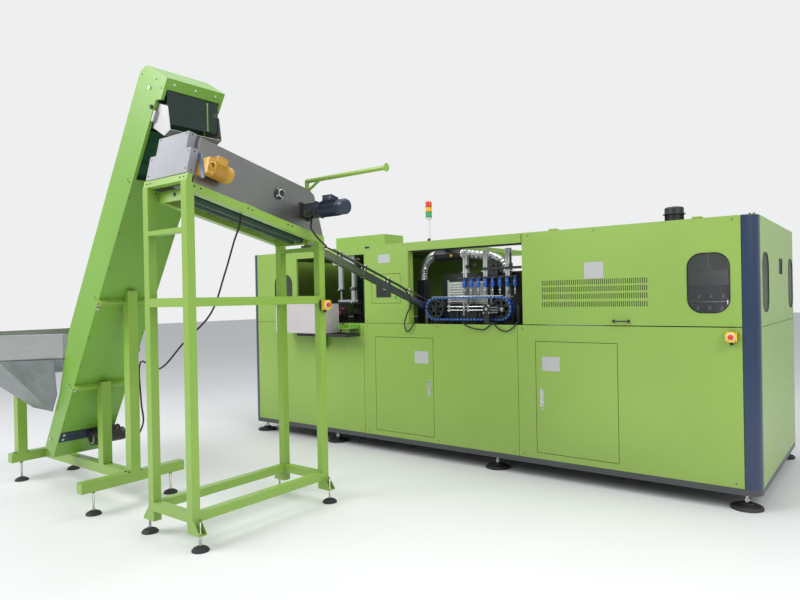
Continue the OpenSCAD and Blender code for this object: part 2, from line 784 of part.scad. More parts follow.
// Rings of a tube along a route, joined to one skin
function unit(v) = v / norm(v);
function lerp_cr(p, i, t) =
    let (n = len(p) - 1, a = p[max(i - 1, 0)], b = p[i], c = p[min(i + 1, n)], d = p[min(i + 2, n)])
    0.5 * (2 * b + (c - a) * t + (2 * a - 5 * b + 4 * c - d) * t * t + (3 * b - a - 3 * c + d) * t * t * t);
function smooth_route(p, steps) =
    [for (i = [0:len(p) - 2], k = [0:steps - 1]) lerp_cr(p, i, k / steps), p[len(p) - 1]];
function heading(p, i) = unit(p[min(i + 1, len(p) - 1)] - p[max(i - 1, 0)]);
function ring_at(c, t, side, r, n) =
    let (a = unit(cross(t, side)), b = cross(t, a))
    [for (k = [0:n - 1]) c + r * (cos(360 * k / n) * a + sin(360 * k / n) * b)];

module tube_along(route, radii, side, n = 8) {
    m = len(route);
    pts = [for (i = [0:m - 1]) each ring_at(route[i], heading(route, i), side, radii[i % len(radii)], n)];
    skin = [for (i = [0:m - 2], k = [0:n - 1])
        [i * n + k, i * n + (k + 1) % n, (i + 1) * n + (k + 1) % n, (i + 1) * n + k]];
    ends = [[for (k = [0:n - 1]) n - 1 - k], [for (k = [0:n - 1]) (m - 1) * n + k]];
    polyhedron(points = pts, faces = concat(skin, ends), convexity = 6);
}

left_duct = [[-3085, 1805], [-3082, 1870], [-3070, 1930], [-3030, 1990], [-2980, 2025], [-2930, blower_z]];
right_duct = [[-2582, blower_z], [-2490, 2034], [-2370, 2018], [-2250, 1998], [-2160, 1955], [-2115, 1890],
    [-2105, 1845]];

// A corrugated duct whose ends stand square before their seats
module duct(p, a, b) {
    mid = smooth_route([for (q = p) [q[0], duct_y, q[1]]], 5);
    tube_along(concat([[a[0], duct_y, a[1]]], mid, [[b[0], duct_y, b[1]]]), [40, 46], [0, 1, 0], 14);
}
module air_duct() {
    color("silver") {
        duct(left_duct, [-3085, 1790 + fit], [-2912 - fit, blower_z]);
        duct(right_duct, [-2600 + fit, blower_z], [-2105, 1830 + fit]);
    }
}

// Blowing station
blow_x = -760;
blow_y = 1030;
half_t = 120;
mould_h = 340;
mould_z = bed_z + 62;
mould_w = cavities * cavity_pitch + 40;
tie_r = 22;
end_t = 60;
wall_y = mould_stroke + half_t + 30;
column_x = mould_w / 2 + 55;
plate_z = mould_z + mould_h + 30 + fit;
function cavity_x(i) = blow_x + (i - (cavities - 1) / 2) * cavity_pitch;

module blow_frame() {
    color("#8f9498") {
        for (k = [-1, 1]) block([blow_x - mould_w / 2 - 90, blow_y + k * (wall_y + end_t / 2) - end_t / 2, bed_z],
            [blow_x + mould_w / 2 + 90, blow_y + k * (wall_y + end_t / 2) + end_t / 2, mould_z + mould_h + 30]);
        for (x = [-column_x, column_x], z = [mould_z + 30, mould_z + mould_h - 30])
            bar_y([blow_x + x, blow_y - wall_y + fit, z], 2 * wall_y - 2 * fit, tie_r);
        for (x = [-mould_w / 3, mould_w / 3]) block([blow_x + x - 18, blow_y - wall_y + fit, bed_z],
            [blow_x + x + 18, blow_y + wall_y - fit, mould_z - fit]);
        for (k = [-1, 1]) {
            block([blow_x - mould_w / 2 - 90, blow_y + k * (wall_y + end_t + 60) / 2 - (wall_y + end_t - 60) / 2, plate_z],
                [blow_x + mould_w / 2 + 90, blow_y + k * (wall_y + end_t + 60) / 2 + (wall_y + end_t - 60) / 2,
                plate_z + 25]);
            block([blow_x + k * (mould_w / 2 + 45) - 45, blow_y - 60 + fit, plate_z],
                [blow_x + k * (mould_w / 2 + 45) + 45, blow_y + 60 - fit, plate_z + 25]);
            bar_z([blow_x + k * (mould_w / 2 + 50), blow_y, plate_z + 25 + fit], 250 - fit, 15);
        }
    }
    color("#aab0b4") for (x = profile_x) profile(x, rack_y, bed_z, 2065);
}

// An upright aluminium profile with a groove in each face
module profile(x, y, z0, z1) {
    g = 10;
    difference() {
        block([x - profile_w / 2, y - profile_w / 2, z0], [x + profile_w / 2, y + profile_w / 2, z1]);
        for (a = [0:90:270]) translate([x, y, z0 - 1]) rotate(a)
            block([-g / 2, profile_w / 2 - 6, 0], [g / 2, profile_w / 2 + 1, z1 - z0 + 2]);
    }
}

// Half of the mould, its parting face towards +Y at y = 0
module mould_half() {
    difference() {
        block([blow_x - mould_w / 2, -half_t, mould_z], [blow_x + mould_w / 2, 0, mould_z + mould_h]);
        for (i = [0:cavities - 1]) translate([cavity_x(i), 0, mould_z + 30]) rotate_extrude()
            polygon([[0, 0], [bottle_r - 6, 0], [bottle_r, 8], [bottle_r, 90], [bottle_r - 4, 100], [bottle_r, 110],
                [bottle_r, 190], [14, 250], [14, mould_h], [0, mould_h]]);
    }
}
module mould_front() { color("lightsteelblue") translate([0, blow_y - mould_stroke, 0]) mould_half(); }
module mould_rear() {
    color("lightsteelblue") translate([0, blow_y + mould_stroke, 0]) mirror([0, 1, 0]) mould_half();
}

rod_r = 6;
head_z = mould_z + mould_h + 250;
module stretch_unit() {
    color("gainsboro") {
        difference() {
            block([blow_x - mould_w / 2 - 80, blow_y - 35, head_z], [blow_x + mould_w / 2 + 80, blow_y + 35, head_z + 40]);
            for (x = [-mould_w / 2 - 50, mould_w / 2 + 50])
                bar_z([blow_x + x, blow_y, head_z - 1], 42, 15 + run);
        }
        for (i = [0:cavities - 1]) {
            bar_z([cavity_x(i), blow_y, head_z - 235], 236, rod_r);
            bar_z([cavity_x(i), blow_y, head_z + 40], 40, 16);
        }
    }
}

// Cylinders and a hand wheel behind the take-out opening
module transfer_unit() {
    y = frame_y0 + tube + fit;
    color("#3a3d41") {
        block([-4150, y, 1990], [-3830, y + 14, 2150]);
        block([-4140, y + 14, 2040], [-3840, y + 110, 2060]);
        translate([-4090, y + 60, 0]) {
            bar_y([0, 0, 1450], 16, 105);
            bar_y([0, -30, 1450], 70, 18);
            block([-30, 20, bed_z], [30, 40, 1450]);
        }
    }
    color("silver") {
        bar_z([-4080, y + 62, 1700], 340, 34);
        bar_z([-4080, y + 62, 1590], 111, 9);
        bar_z([-3890, y + 62, 1720], 320, 26);
        bar_z([-3890, y + 62, 1560], 161, 34);
        block([-4120, y + 50, 1575], [-3850, y + 74, 1600]);
    }
}

star_at = [-4140, 470];
module takeout_wheel() {
    pockets = 12;
    color("#33363a") translate([star_at[0], star_at[1], bed_z + 40]) {
        difference() {
            union() {
                translate([0, 0, 60]) cylinder(h = 12, r = star_r);
                translate([0, 0, 170]) cylinder(h = 12, r = star_r - 40);
                cylinder(h = 230, r = 45);
            }
            for (i = [0:pockets - 1]) rotate(i * 360 / pockets) translate([star_r, 0, 0]) {
                cylinder(h = 100, r = 17);
                translate([-30, 0, 160]) cylinder(h = 40, r = 15);
            }
        }
        translate([0, 0, fit - 40]) cylinder(h = 42, r = 20);
    }
}

module reject_boxes() {
    t = 2;
    x0 = -4750;
    x1 = -4000;
    color("#b9babd") difference() {
        block([x0, -250, 1240], [x1, 0, 1560]);
        block([x0 + t, -250 + t, 1240 + t], [x1 - t, -t, 1561]);
    }
    color("#303336") difference() {
        block([-4450, -210, 1205], [-3700, 0, 1240 - fit]);
        block([x1 + 3, -207, 1208], [-3703, -3, 1241]);
    }
    color(lime) {
        block([-3870, -150, 1290], [-3700, 0, 1294]);
        block([-3870, -4, 1270], [-3700, 0, 1345]);
        for (x = [-3870, -3704]) block([x, -150, 1290], [x + 4, 0, 1330]);
        block([-4230, -60, 1080], [-4170, -2 - fit, 1206]);
    }
}

// Feeder stand
// Everything on the stand's sloping top is drawn square to it: X across, Y down the slope, Z off it
module slope() { translate([0, stand_y0, stand_top]) rotate([-fall, 0, 0]) children(); }
function top_at(y) = stand_top - (y - stand_y0) * tan(fall);
slope_l = stand_l / cos(fall);

module stand_frame() {
    xs = [stand_x0, stand_x1 - leg_w];
    ys = [stand_y0, stand_y1 - leg_w];
    color(lime) {
        for (x = xs, y = ys) difference() {
            block([x, y, foot_top], [x + leg_w, y + leg_w, stand_top]);
            slope() block([x - 1, -200, 0], [x + leg_w + 1, slope_l + 200, 400]);
        }
        for (z = [low_rail_z, mid_rail_z]) {
            for (x = xs) block([x, stand_y0 + leg_w, z], [x + leg_w, stand_y1 - leg_w, z + leg_w]);
            for (y = ys) block([stand_x0 + leg_w, y, z], [stand_x1 - leg_w, y + leg_w, z + leg_w]);
        }
        block([stand_x0 + leg_w, stand_y0, 2068], [stand_x1 - leg_w, stand_y0 + leg_w, 2100]);
        block([stand_x0 + leg_w, stand_y1 - leg_w, 2000], [stand_x1 - leg_w, stand_y1, 2030]);
        for (x = xs) intersection() {
            slope() block([x, -50, -leg_w], [x + leg_w, slope_l + 50, 0]);
            block([x, stand_y0 + leg_w / 2, 0], [x + leg_w, stand_y1 - leg_w / 2, stand_top + 100]);
        }
        slope() for (s = [roller_s0 - 14, roller_s1 + 2]) difference() {
            block([stand_x0 + leg_w, s, roller_n - 45], [stand_x1 - leg_w, s + 12, -2]);
            for (x = roller_x) bar_y([x, s - 1, roller_n], 14, shaft_r + run);
        }
        slope() block([stand_x0, 5, 0], [stand_x1, 45, 50]);
        for (x = xs, y = ys) shoe(x, y, x == stand_x0 ? -1 : 1);
    }
}

// A bent foot bracket on a leg, reaching out along X
module shoe(x, y, dir) {
    reach = 68;
    h = 92;
    t = 5;
    px = dir > 0 ? x + leg_w : x;
    difference() {
        union() {
            for (yy = [y, y + leg_w - t]) translate([px, yy + t, foot_top]) rotate([90, 0, 0]) linear_extrude(t)
                polygon([[0, 0], [dir * reach, 0], [dir * reach, 12], [dir * 8, h], [0, h]]);
            block([min(px, px + dir * reach), y, foot_top], [max(px, px + dir * reach), y + leg_w, foot_top + t]);
        }
        bar_z([px + dir * 38, y + leg_w / 2, foot_top - 1], t + 2, stud_r + 1);
    }
}

// A swivel foot with its threaded stud, standing at a point of the floor
module level_foot(x, y, top, nut) {
    translate([x, y, 0]) {
        rotate_extrude() polygon([[0, 0], [pad_r, 0], [pad_r, 8], [pad_r - 10, 20], [22, 32], [stud_r, 34],
            [stud_r, top], [0, top]]);
        translate([0, 0, nut - 14]) cylinder(h = 14, r = 14, $fn = 6);
    }
}
module levelling_feet() {
    color("#2a2c2e") {
        for (y = [stand_y0 + leg_w / 2, stand_y1 - leg_w / 2]) {
            level_foot(stand_x1 + 38, y, foot_top + 88, foot_top);
            level_foot(stand_x0 - 38, y, foot_top + 88, foot_top);
        }
        for (y = [-330, 330]) level_foot(cross_x, lift_y + y, base_z0, base_z0);
        for (y = [-234, 234]) level_foot(back_x, lift_y + y, base_z0, base_z0);
    }
}

trough_t = 3;
trough_s0 = 60;
roller_x = [rail_x - roller_r - roller_gap / 2, rail_x + roller_r + roller_gap / 2];
bearing_s = 780;
kick_s = 1055;
kick_n = 130;
strap_s = 1078;

module side_sheet(x) {
    color("silver") translate([x, 0, 0]) rotate([90, 0, 90]) linear_extrude(trough_t)
        polygon([[trough_s0, 2], [trough_s0, trough_h], [1070, trough_h], [1130, trough_h - 25], [1285, 9], [1285, 2]]);
}

module trough() {
    in0 = stand_x0 + 8 + trough_t;
    in1 = stand_x1 - 8 - trough_t;
    slope() {
        difference() {
            union() {
                side_sheet(in0 - trough_t);
                side_sheet(in1);
                color("silver") block([in0, trough_s0, 2], [in1, trough_s0 + trough_t, trough_h]);
                color("silver") block([in0, strap_s, trough_h - 45], [in1, strap_s + 50, trough_h - 40]);
                color("silver") for (m = [0, 1]) let (w = m == 0 ? roller_x[0] - in0 - 8 : in1 - roller_x[1] - 8)
                    translate([m == 0 ? in0 : in1, trough_s0 + trough_t, 0]) mirror([m, 0, 0]) rotate([-90, 0, 0])
                        linear_extrude(1115) polygon([[0, -190], [0, -194], [w, -8], [w, -4]]);
            }
            bar_x([stand_x0, kick_s, kick_n], stand_w, 15 + run);
        }
        color("#303336") {
            translate([in1 + trough_t, bearing_s, 180]) rotate([0, 90, 0]) {
                cylinder(h = 14, r = 42);
                cylinder(h = 30, r = 24);
                bolt_ring(4, 34, 6, 20);
            }
        }
    }
}

guard_t = 2;
module end_guards() {
    color("lightgray") slope() {
        for (g = [[stand_x0 + 25, stand_x1 - 7, 50 + fit, 225], [stand_x0 + 95, stand_x1 - 65, 225 + fit, 348]]) difference() {
            block([g[0], 0, g[2]], [g[1], trough_s0 - fit, g[3]]);
            block([g[0] + guard_t, guard_t, g[2] - 1], [g[1] - guard_t, trough_s0, g[3] - guard_t]);
        }
    }
}

// A sorting roller with a screw groove's bands and its shaft
module sort_roller(x) {
    slope() {
        bar_y([x, roller_s0, roller_n], roller_s1 - roller_s0, roller_r);
        bar_y([x, roller_s0 - 22, roller_n], roller_s1 - roller_s0 + 44, shaft_r);
    }
}
module front_roller() { color("#20342a") sort_roller(roller_x[1]); }
module rear_roller() { color("#20342a") sort_roller(roller_x[0]); }

motor_x = stand_x1 + 66;
module roller_motor() {
    x0 = stand_x1 - 8 + fit;
    slope() {
        color("steelblue") upright(trough_s0, 8)
            polygon([[x0, 205], [x0, 190], [x0 + 84, 20], [x0 + 112, 20], [x0 + 28, 205]]);
        color("goldenrod") {
            block([x0, trough_s0 + 8, 58], [motor_x + 50, 112, 165]);
            translate([motor_x, 112, 112]) rotate([-90, 0, 0]) rotate_extrude() polygon([[0, 0], [58, 0],
                [58, 12], [51, 16], [51, 112], [58, 118], [58, 150], [46, 160], [0, 160]]);
            block([motor_x - 38, 142, 150], [motor_x + 38, 220, 196]);
        }
    }
}

module kicker_wheel() {
    slope() color("#3a3d40") {
        bar_x([stand_x0 + 20, kick_s, kick_n], stand_w - 28 - fit, 15);
        for (x = [rail_x - 60, rail_x + 60]) bar_x([x - 20, kick_s, kick_n], 40, 32);
        for (x = [rail_x - 60, rail_x + 60], a = [0:60:300]) translate([x, kick_s, kick_n]) rotate([a, 0, 0])
            block([-12, -4, 20], [12, 4, 82]);
    }
}

module kicker_motor() {
    x0 = stand_x1 - 8;
    slope() {
        color("#222426") {
            block([x0, kick_s - 58, kick_n - 58], [x0 + 12, kick_s + 58, kick_n + 58]);
            block([x0 + 12, kick_s - 46, kick_n - 46], [x0 + 150, kick_s + 46, kick_n + 46]);
            block([x0 + 150, kick_s - 52, kick_n - 52], [x0 + 172, kick_s + 52, kick_n + 52]);
        }
        color(navy) translate([x0 + 172, kick_s, kick_n]) rotate([0, 90, 0]) rotate_extrude() polygon([[0, 0],
            [56, 0], [56, 200], [50, 204], [50, 212], [56, 216], [56, 262], [44, 275], [0, 275]]);
    }
}

arm_r = 17;
module pipe_arm() {
    y = stand_y0 + (strap_s + 25) * cos(fall) + (trough_h - 40) * sin(fall);
    z0 = stand_top - (strap_s + 25) * sin(fall) + (trough_h - 40) * cos(fall) + 4;
    z1 = 2545;
    x0 = -2790;
    color(lime) {
        bar_z([x0, y, z0], z1 - z0, arm_r);
        translate([x0, y, z1]) sphere(arm_r);
        bar_x([x0, y, z1], 800, arm_r);
        bar_x([x0 + 800, y, z1], 8, 30);
        translate([x0 + 150, y, z1]) rotate([0, 180 + 61, 0]) cylinder(h = 160, r = 11);
        slope() block([x0 - 75, strap_s, trough_h - 40], [x0 + 40, strap_s + 50, trough_h - 34]);
    }
}

chute_y0 = stand_y1 + 9;
chute_y1 = 240;
chute_a = atan((chute_z0 - chute_z1) / (chute_y1 - chute_y0));
chute_l = (chute_y1 - chute_y0) / cos(chute_a);
module chute_rail() {
    translate([rail_x, chute_y0, chute_z0]) rotate([-chute_a, 0, 0]) color("silver") {
        for (k = [-1, 1]) block([k * 16 - 3, 0, -60], [k * 16 + 3, chute_l, 0]);
        for (i = [0:5]) let (s = 40 + i * (chute_l - 100) / 5) {
            block([-19, s, -66], [19, s + 20, -60]);
            if (i > 0) {
                for (k = [-1, 1]) block([k * 22 - 3, s, -40], [k * 22 + 3, s + 20, 52]);
                block([-25, s, 46], [25, s + 20, 52]);
            }
        }
        block([-12, 300, 38], [12, chute_l, 46]);
    }
    color("silver") block([rail_x - 15, chute_y1 - 60, bed_z], [rail_x + 15, chute_y1 - 30, chute_z1 - 44]);
    color("#26282a") block([rail_x - 60, stand_y1, 2000], [rail_x + 60, stand_y1 + 10, 2055]);
}

// Elevator, drawn upright and leant: X across from the belly, Z up along the casing
module leant() { translate([lift_x0, lift_y, lift_z0]) rotate([0, lean, 0]) children(); }

nose_x = 58;

// The side's outline, drawn in by d
module case_outline(d) {
    r = 110 - d;
    polygon([[-boot_d + d, d], [-d, d], [-d, case_l - 180 + d], [nose_x - d, case_l - 155 + d],
        [nose_x - d, case_l - d], [-case_d + d + r, case_l - d],
        for (a = [0:9:90]) [-case_d + d + r - r * sin(a), case_l - d - r + r * cos(a)],
        [-case_d + d, 1090], [-boot_d + d - 8, 540]]);
}

module elevator_casing() {
    half = lift_w / 2;
    color(lime) leant() difference() {
        upright(-half, lift_w) case_outline(0);
        upright(-half + case_t, lift_w - 2 * case_t) case_outline(case_t);
        block([-case_d - 1, -half + 20, -1], [-boot_d + 30, half - 20, 900]);
        block([-case_t - 1, -half + 24, 2588], [nose_x - 20, half - 24, case_l - 100]);
        block([nose_x - 30, -half + 24, case_l - 190], [nose_x + 1, half - 24, case_l - 78]);
        block([-2, -half + 20, 300], [1, half - 20, 2560]);
        for (u = [tail_u, head_u]) bar_y([belt_n, -half - 1, u], lift_w + 2, shaft_r + run);
    }
}

head_end = on_lift(0, 0, case_l);

// A tinted curtain, bent where it leaves the nose and hangs before the discharge mouth
module elevator_window() {
    half = lift_w / 2 - 30;
    t = 4;
    out = nose_x - case_t - fit;
    top = on_lift(out, 0, case_l - 20);
    top_in = on_lift(out - t, 0, case_l - 20);
    knee = on_lift(out, 0, case_l - 89);
    foot = head_end[2] - 328;
    drop = (top_in[0] - knee[0] + t) / tan(lean);
    color("darkgreen", 0.8) translate([0, lift_y - half, 0]) upright(0, 2 * half) polygon([[top[0], top[2]],
        [knee[0], knee[2]], [knee[0], foot], [knee[0] - t, foot], [knee[0] - t, top_in[2] - drop],
        [top_in[0], top_in[2]]]);
}

module discharge_chute() {
    half = lift_w / 2;
    color("silver") {
        for (y = [26 - half, half - 29]) translate(head_end + [0, y, 0]) upright(0, 3)
            polygon([[-105.3, -168], [9.7, -210], [34.7, -378], [-40.3, -408], [-175.3, -328]]);
        translate(head_end + [0, 29 - half, 0]) upright(0, lift_w - 58) polygon([[-175.3, -328], [-40.3, -408],
            [34.7, -378], [32.7, -375], [-39.3, -404], [-173.3, -324]]);
    }
    color("#2c2e30") leant() for (k = [-1, 1]) intersection() {
        block([fit, -half, case_l - 330], [26, half, case_l - 250]);
        translate([0, k * (half - case_t - 11 - fit / 2), 0]) cube([200, 22, 9000], center = true);
    }
}

module belt_loop(r) {
    translate([belt_n, tail_u]) circle(r);
    translate([belt_n, head_u]) circle(r);
    translate([belt_n - r, tail_u]) square([2 * r, head_u - tail_u]);
}
belt_w = lift_w - 2 * case_t - 40;
module cleated_belt() {
    n = floor((head_u - tail_u - 60) / cleat_pitch);
    color("#2f5a3c") leant() translate([0, -belt_w / 2, 0]) {
        upright(0, belt_w) difference() {
            belt_loop(drum_r + belt_t);
            belt_loop(drum_r + 0.5);
        }
        for (i = [0:n]) {
            u = tail_u + 30 + i * cleat_pitch;
            block([belt_n - drum_r - belt_t - cleat_h, 6, u], [belt_n - drum_r - belt_t + 1, belt_w - 6, u + 6]);
            block([belt_n + drum_r + belt_t - 1, 6, u + 60], [belt_n + drum_r + belt_t + cleat_h, belt_w - 6, u + 66]);
        }
    }
}

module drum(u) {
    half = lift_w / 2;
    leant() {
        bar_y([belt_n, -belt_w / 2 + 2, u], belt_w - 4, drum_r);
        bar_y([belt_n, -half - 10, u], lift_w + 20, shaft_r);
    }
}
module head_drum() { color("dimgray") drum(head_u); }
module tail_drum() { color("dimgray") drum(tail_u); }

gear_u = 215;
module elevator_motor() {
    leant() {
        color(navy) block([0, -lift_w / 2 + 6, gear_u - 55], [6, lift_w / 2 - 6, gear_u + 45]);
        color("#1e2022") {
            block([6, 10, gear_u - 50], [20, 110, gear_u + 50]);
            block([20, 20, gear_u - 45], [130, 95, gear_u + 45]);
            bar_y([85, 0, gear_u], 24, 60);
            bar_y([85, 95, gear_u], 190, 58);
            block([60, 150, gear_u + 50], [115, 230, gear_u + 84]);
        }
    }
}

base_z0 = 180;
module elevator_base() {
    top = base_z0 + base_w;
    hw = base_w / 2;
    color(lime) {
        block([cross_x - hw, lift_y - 437, base_z0], [cross_x + hw, lift_y + 437, top]);
        block([back_x - hw, lift_y - 330, base_z0], [back_x + hw, lift_y + 330, top]);
        block([back_x + hw, lift_y - hw, base_z0], [cross_x - hw, lift_y + hw, top]);
        difference() {
            union() {
                block([cross_x - hw, lift_y - hw, top], [cross_x + hw, lift_y + hw, 1707]);
                block([-4475, lift_y - hw, top], [-4475 + base_w, lift_y + hw, 950]);
            }
            leant() block([-400, -200, -100], [fit, 200, 2500]);
        }
        difference() {
            for (y = [-234, 234]) block([back_x - hw, lift_y + y - hw, top], [back_x + hw, lift_y + y + hw, 1100]);
            hopper_body(fit);
        }
        for (u = [750, 1570]) leant() {
            block([fit, -lift_w / 2 - 6, u - 8], [50, lift_w / 2 + 6, u]);
            block([fit, -lift_w / 2 - 6, u - 58], [8, lift_w / 2 + 6, u]);
        }
    }
}

// The hopper's outer form, grown by g
module hopper_body(g = 0) {
    hull() {
        rim_plate(rim_z - rim_h, 1, g);
        translate([-4905 - g, lift_y - 150 - g, 560 - g]) cube([135 + 2 * g, 300 + 2 * g, 1]);
    }
    translate([0, 0, rim_z - rim_h]) linear_extrude(rim_h) rim_outline(g);
}
module rim_plate(z, t, g) { translate([0, 0, z]) linear_extrude(t) rim_outline(g); }
module rim_outline(g) {
    n = lift_w / 2 + fit + hopper_t + g;
    w = bin_w / 2 + g;
    polygon([[bin_x0 - g, lift_y - w], [bin_x1, lift_y - w], [hop_x1 - 110, lift_y - n], [hop_x1, lift_y - n],
        [hop_x1, lift_y + n], [hop_x1 - 110, lift_y + n], [bin_x1, lift_y + w], [bin_x0 - g, lift_y + w]]);
}

module hopper() {
    color("silver") difference() {
        hopper_body();
        hull() {
            rim_plate(rim_z - rim_h, 1, -hopper_t);
            translate([-4905 + hopper_t, lift_y - 150 + hopper_t, 555]) cube([135 - 2 * hopper_t, 300 - 2 * hopper_t, 1]);
        }
        translate([0, 0, rim_z - rim_h]) linear_extrude(rim_h + 1) rim_outline(-hopper_t);
        leant() {
            upright(-400, 800) case_outline(-fit);
            block([-boot_d - 4, -lift_w / 2, -200], [400, lift_w / 2, 1700]);
        }
    }
}

// Cables that the machine holds at both ends
function on_slope(x, s, n) =
    [x, stand_y0 + s * cos(fall) + n * sin(fall), stand_top - s * sin(fall) + n * cos(fall)];
function on_lift(x, y, u) =
    [lift_x0 + x * cos(lean) + u * sin(lean), lift_y + y, lift_z0 - x * sin(lean) + u * cos(lean)];
lid = bed_z + 7.2;
lip = split_z + 14;
feed_cable = [for (u = [fit, 8, 16, 26]) on_lift(87, 190, gear_u + 84 + u), on_lift(120, 194, gear_u + 135),
    on_lift(170, 196, gear_u + 110), [-4470, -2240, 430], [-4300, -2290, 400], [-4120, -2360, 470],
    [-3950, -2384, 640], [-3947.6, -2400, 820], [-3947.6, -2400, 1130], [-3700, -2380, 1090], [-3420, -2350, 1300],
    [-3120, -2320, 1520], [-2990, -2290, 1800], [-2890, -2275, 2040], [-2838, -2265, 2150], [-2830, -2261, 2212],
    [-2822, -2260, 2244], for (x = [16, 8, fit]) [stand_x1 - leg_w - x, -2260, 2252]];
chute_cable = [for (n = [fit, 8, 16, 34]) on_slope(-2650, kick_s, kick_n - 46 - n),
    [-2652, -1730, 2150], [-2660, -1640, 2075], [-2700, -1520, 2030], [-2790, -1450, 2030], [-2870, -1390, 2040],
    [-2893, -1280, 2035], [-2893, -900, 1910], [-2893, -500, 1780], [-2893, -230, 1680], [-2900, -140, 1570],
    [-2940, -95, 1512], [-2995, -60, 1475], [-3045, -40, 1400], [-3064, -32, 1330], [-3040, -30, 1268],
    [-2995, -26, 1290], [-2966, -16, 1345], [-2962, 6, lip], [-2960, 45, lid + 6], [-2958, 90, lid]];
front_cable = [[-2385, 90, lid], [-2385, 45, lid + 6], [-2384, 6, lip], [-2365, -17, 1350], [-2290, -22, 1318],
    [-2156, -22, 1300], [-2095, -18, 1335], [-2078, 6, lip], [-2070, 45, lid + 6], [-2068, 90, lid]];
second_cable = [[-2036, 90, lid], [-2042, 45, lid + 6], [-2054, 6, lip], [-2040, -17, 1348], [-1985, -22, 1305],
    [-1911, -22, 1290], [-1850, -18, 1322], [-1827, 6, lip], [-1822, 45, lid + 6], [-1820, 90, lid]];
box_cable = [[-3940, 110, lid], [-3938, 45, lid + 6], [-3930, 6, lip], [-3925, -20, 1345], [-3925, -42, 1290],
    [-3925, -52, 1255], [-3925, -53, 1208 + fit]];
cable_r = 7;
module cables() {
    color("#18191a") {
        tube_along(smooth_route(feed_cable, 5), [cable_r], [0.3, 1, 0]);
        tube_along(smooth_route(chute_cable, 5), [cable_r], [1, 0.2, 0.1]);
        tube_along(smooth_route(front_cable, 5), [cable_r], [0.1, 0.3, 1]);
        tube_along(smooth_route(second_cable, 5), [cable_r], [0.1, 0.3, 1]);
        tube_along(smooth_route(box_cable, 5), [cable_r], [1, 0.2, 0.1]);
    }
}

module placed() { translate([-mid_x, -mid_y, 0]) children(); }

placed() base_frame();
placed() machine_feet();
placed() body_frame();
placed() corner_posts();
placed() front_panels();
placed() end_panels();
placed() rear_panels();
placed() roof_panels();
placed() window_glazing();
placed() left_door();
placed() left_lock();
placed() right_door();
placed() right_lock();
placed() lift_door();
placed() lift_handle();
placed() lift_glazing();
placed() control_door();
placed() touch_screen();
placed() start_button();
placed() stop_button();
placed() estop_boxes();
placed() estop_button();
placed() stand_estop_button();
placed() tower_pole();
placed() tower_lamps();
placed() roof_fan();
placed() machine_bed();
placed() oven_frame();
placed() oven_chain();
placed() drive_wheel();
placed() idle_wheel();
placed() oven_drives();
placed() air_duct();
placed() blow_frame();
placed() transfer_unit();
placed() mould_front();
placed() mould_rear();
placed() stretch_unit();
placed() takeout_wheel();
placed() reject_boxes();
placed() stand_frame();
placed() trough();
placed() end_guards();
placed() front_roller();
placed() rear_roller();
placed() roller_motor();
placed() kicker_wheel();
placed() kicker_motor();
placed() pipe_arm();
placed() chute_rail();
placed() elevator_casing();
placed() elevator_base();
placed() elevator_window();
placed() cleated_belt();
placed() head_drum();
placed() tail_drum();
placed() elevator_motor();
placed() discharge_chute();
placed() hopper();
placed() cables();
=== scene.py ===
import math
from itertools import product

import bmesh
import bpy
from mathutils import Matrix, Vector


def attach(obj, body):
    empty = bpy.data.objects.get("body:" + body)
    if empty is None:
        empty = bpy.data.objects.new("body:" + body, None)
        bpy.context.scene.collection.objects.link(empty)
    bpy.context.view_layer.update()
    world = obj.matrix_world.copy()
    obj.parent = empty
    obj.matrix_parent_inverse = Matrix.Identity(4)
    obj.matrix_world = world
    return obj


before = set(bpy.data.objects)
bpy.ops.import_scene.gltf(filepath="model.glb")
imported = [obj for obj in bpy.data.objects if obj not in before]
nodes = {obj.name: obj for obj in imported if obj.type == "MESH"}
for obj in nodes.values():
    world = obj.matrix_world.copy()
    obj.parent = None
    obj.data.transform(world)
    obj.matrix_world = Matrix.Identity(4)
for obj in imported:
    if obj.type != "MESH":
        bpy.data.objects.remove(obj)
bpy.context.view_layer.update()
scene = bpy.context.scene

# Machine coordinates: mm, X along the front from the right end, Y behind the front, Z up
origin = (2922.5, 505, 0)
base = Matrix.Scale(0.001, 4) @ Matrix.Translation(origin)

# The trough slopes down towards the machine; the elevator leans over it
trough0, fall = (0, -2770, 2403), -13
boot0, lean = (-4848, -2450, 300), 31.35
slope = base @ Matrix.Translation(trough0) @ Matrix.Rotation(math.radians(fall), 4, "X")
leant = base @ Matrix.Translation(boot0) @ Matrix.Rotation(math.radians(lean), 4, "Y")

# Faces that many pieces sit on, in the machine's mm, and the ways that they look
liftY = boot0[1]
roofZ, bedZ = 2170, 1338
wallLeft, wallRight, wallRear = -5465, 105, 2060
toRight, toLeft = (1, 0, 0), (-1, 0, 0)
toRear, toFront = (0, 1, 0), (0, -1, 0)
upward, downward = (0, 0, 1), (0, 0, -1)


def placeCamera():
    c = dict(turn=(-37.596, -0.203, -1.064), at=(883.3, -5227.7, 1612), lens=28.96, sensor=36, far=100)
    yaw, pitch, roll = (math.radians(a) for a in c["turn"])
    look = Vector((math.sin(yaw) * math.cos(pitch), math.cos(yaw) * math.cos(pitch), math.sin(pitch)))
    right = Vector((math.cos(yaw), -math.sin(yaw), 0))
    up = right.cross(look)
    right, up = (
        math.cos(roll) * right + math.sin(roll) * up,
        -math.sin(roll) * right + math.cos(roll) * up,
    )
    cam = bpy.data.objects.new("camera", bpy.data.cameras.new("camera"))
    scene.collection.objects.link(cam)
    m = Matrix((right, up, -look)).transposed().to_4x4()
    m.translation = base @ Vector(c["at"])
    cam.matrix_world = m
    cam.data.lens = c["lens"]
    cam.data.sensor_width = c["sensor"]
    cam.data.clip_end = c["far"]
    scene.camera = cam


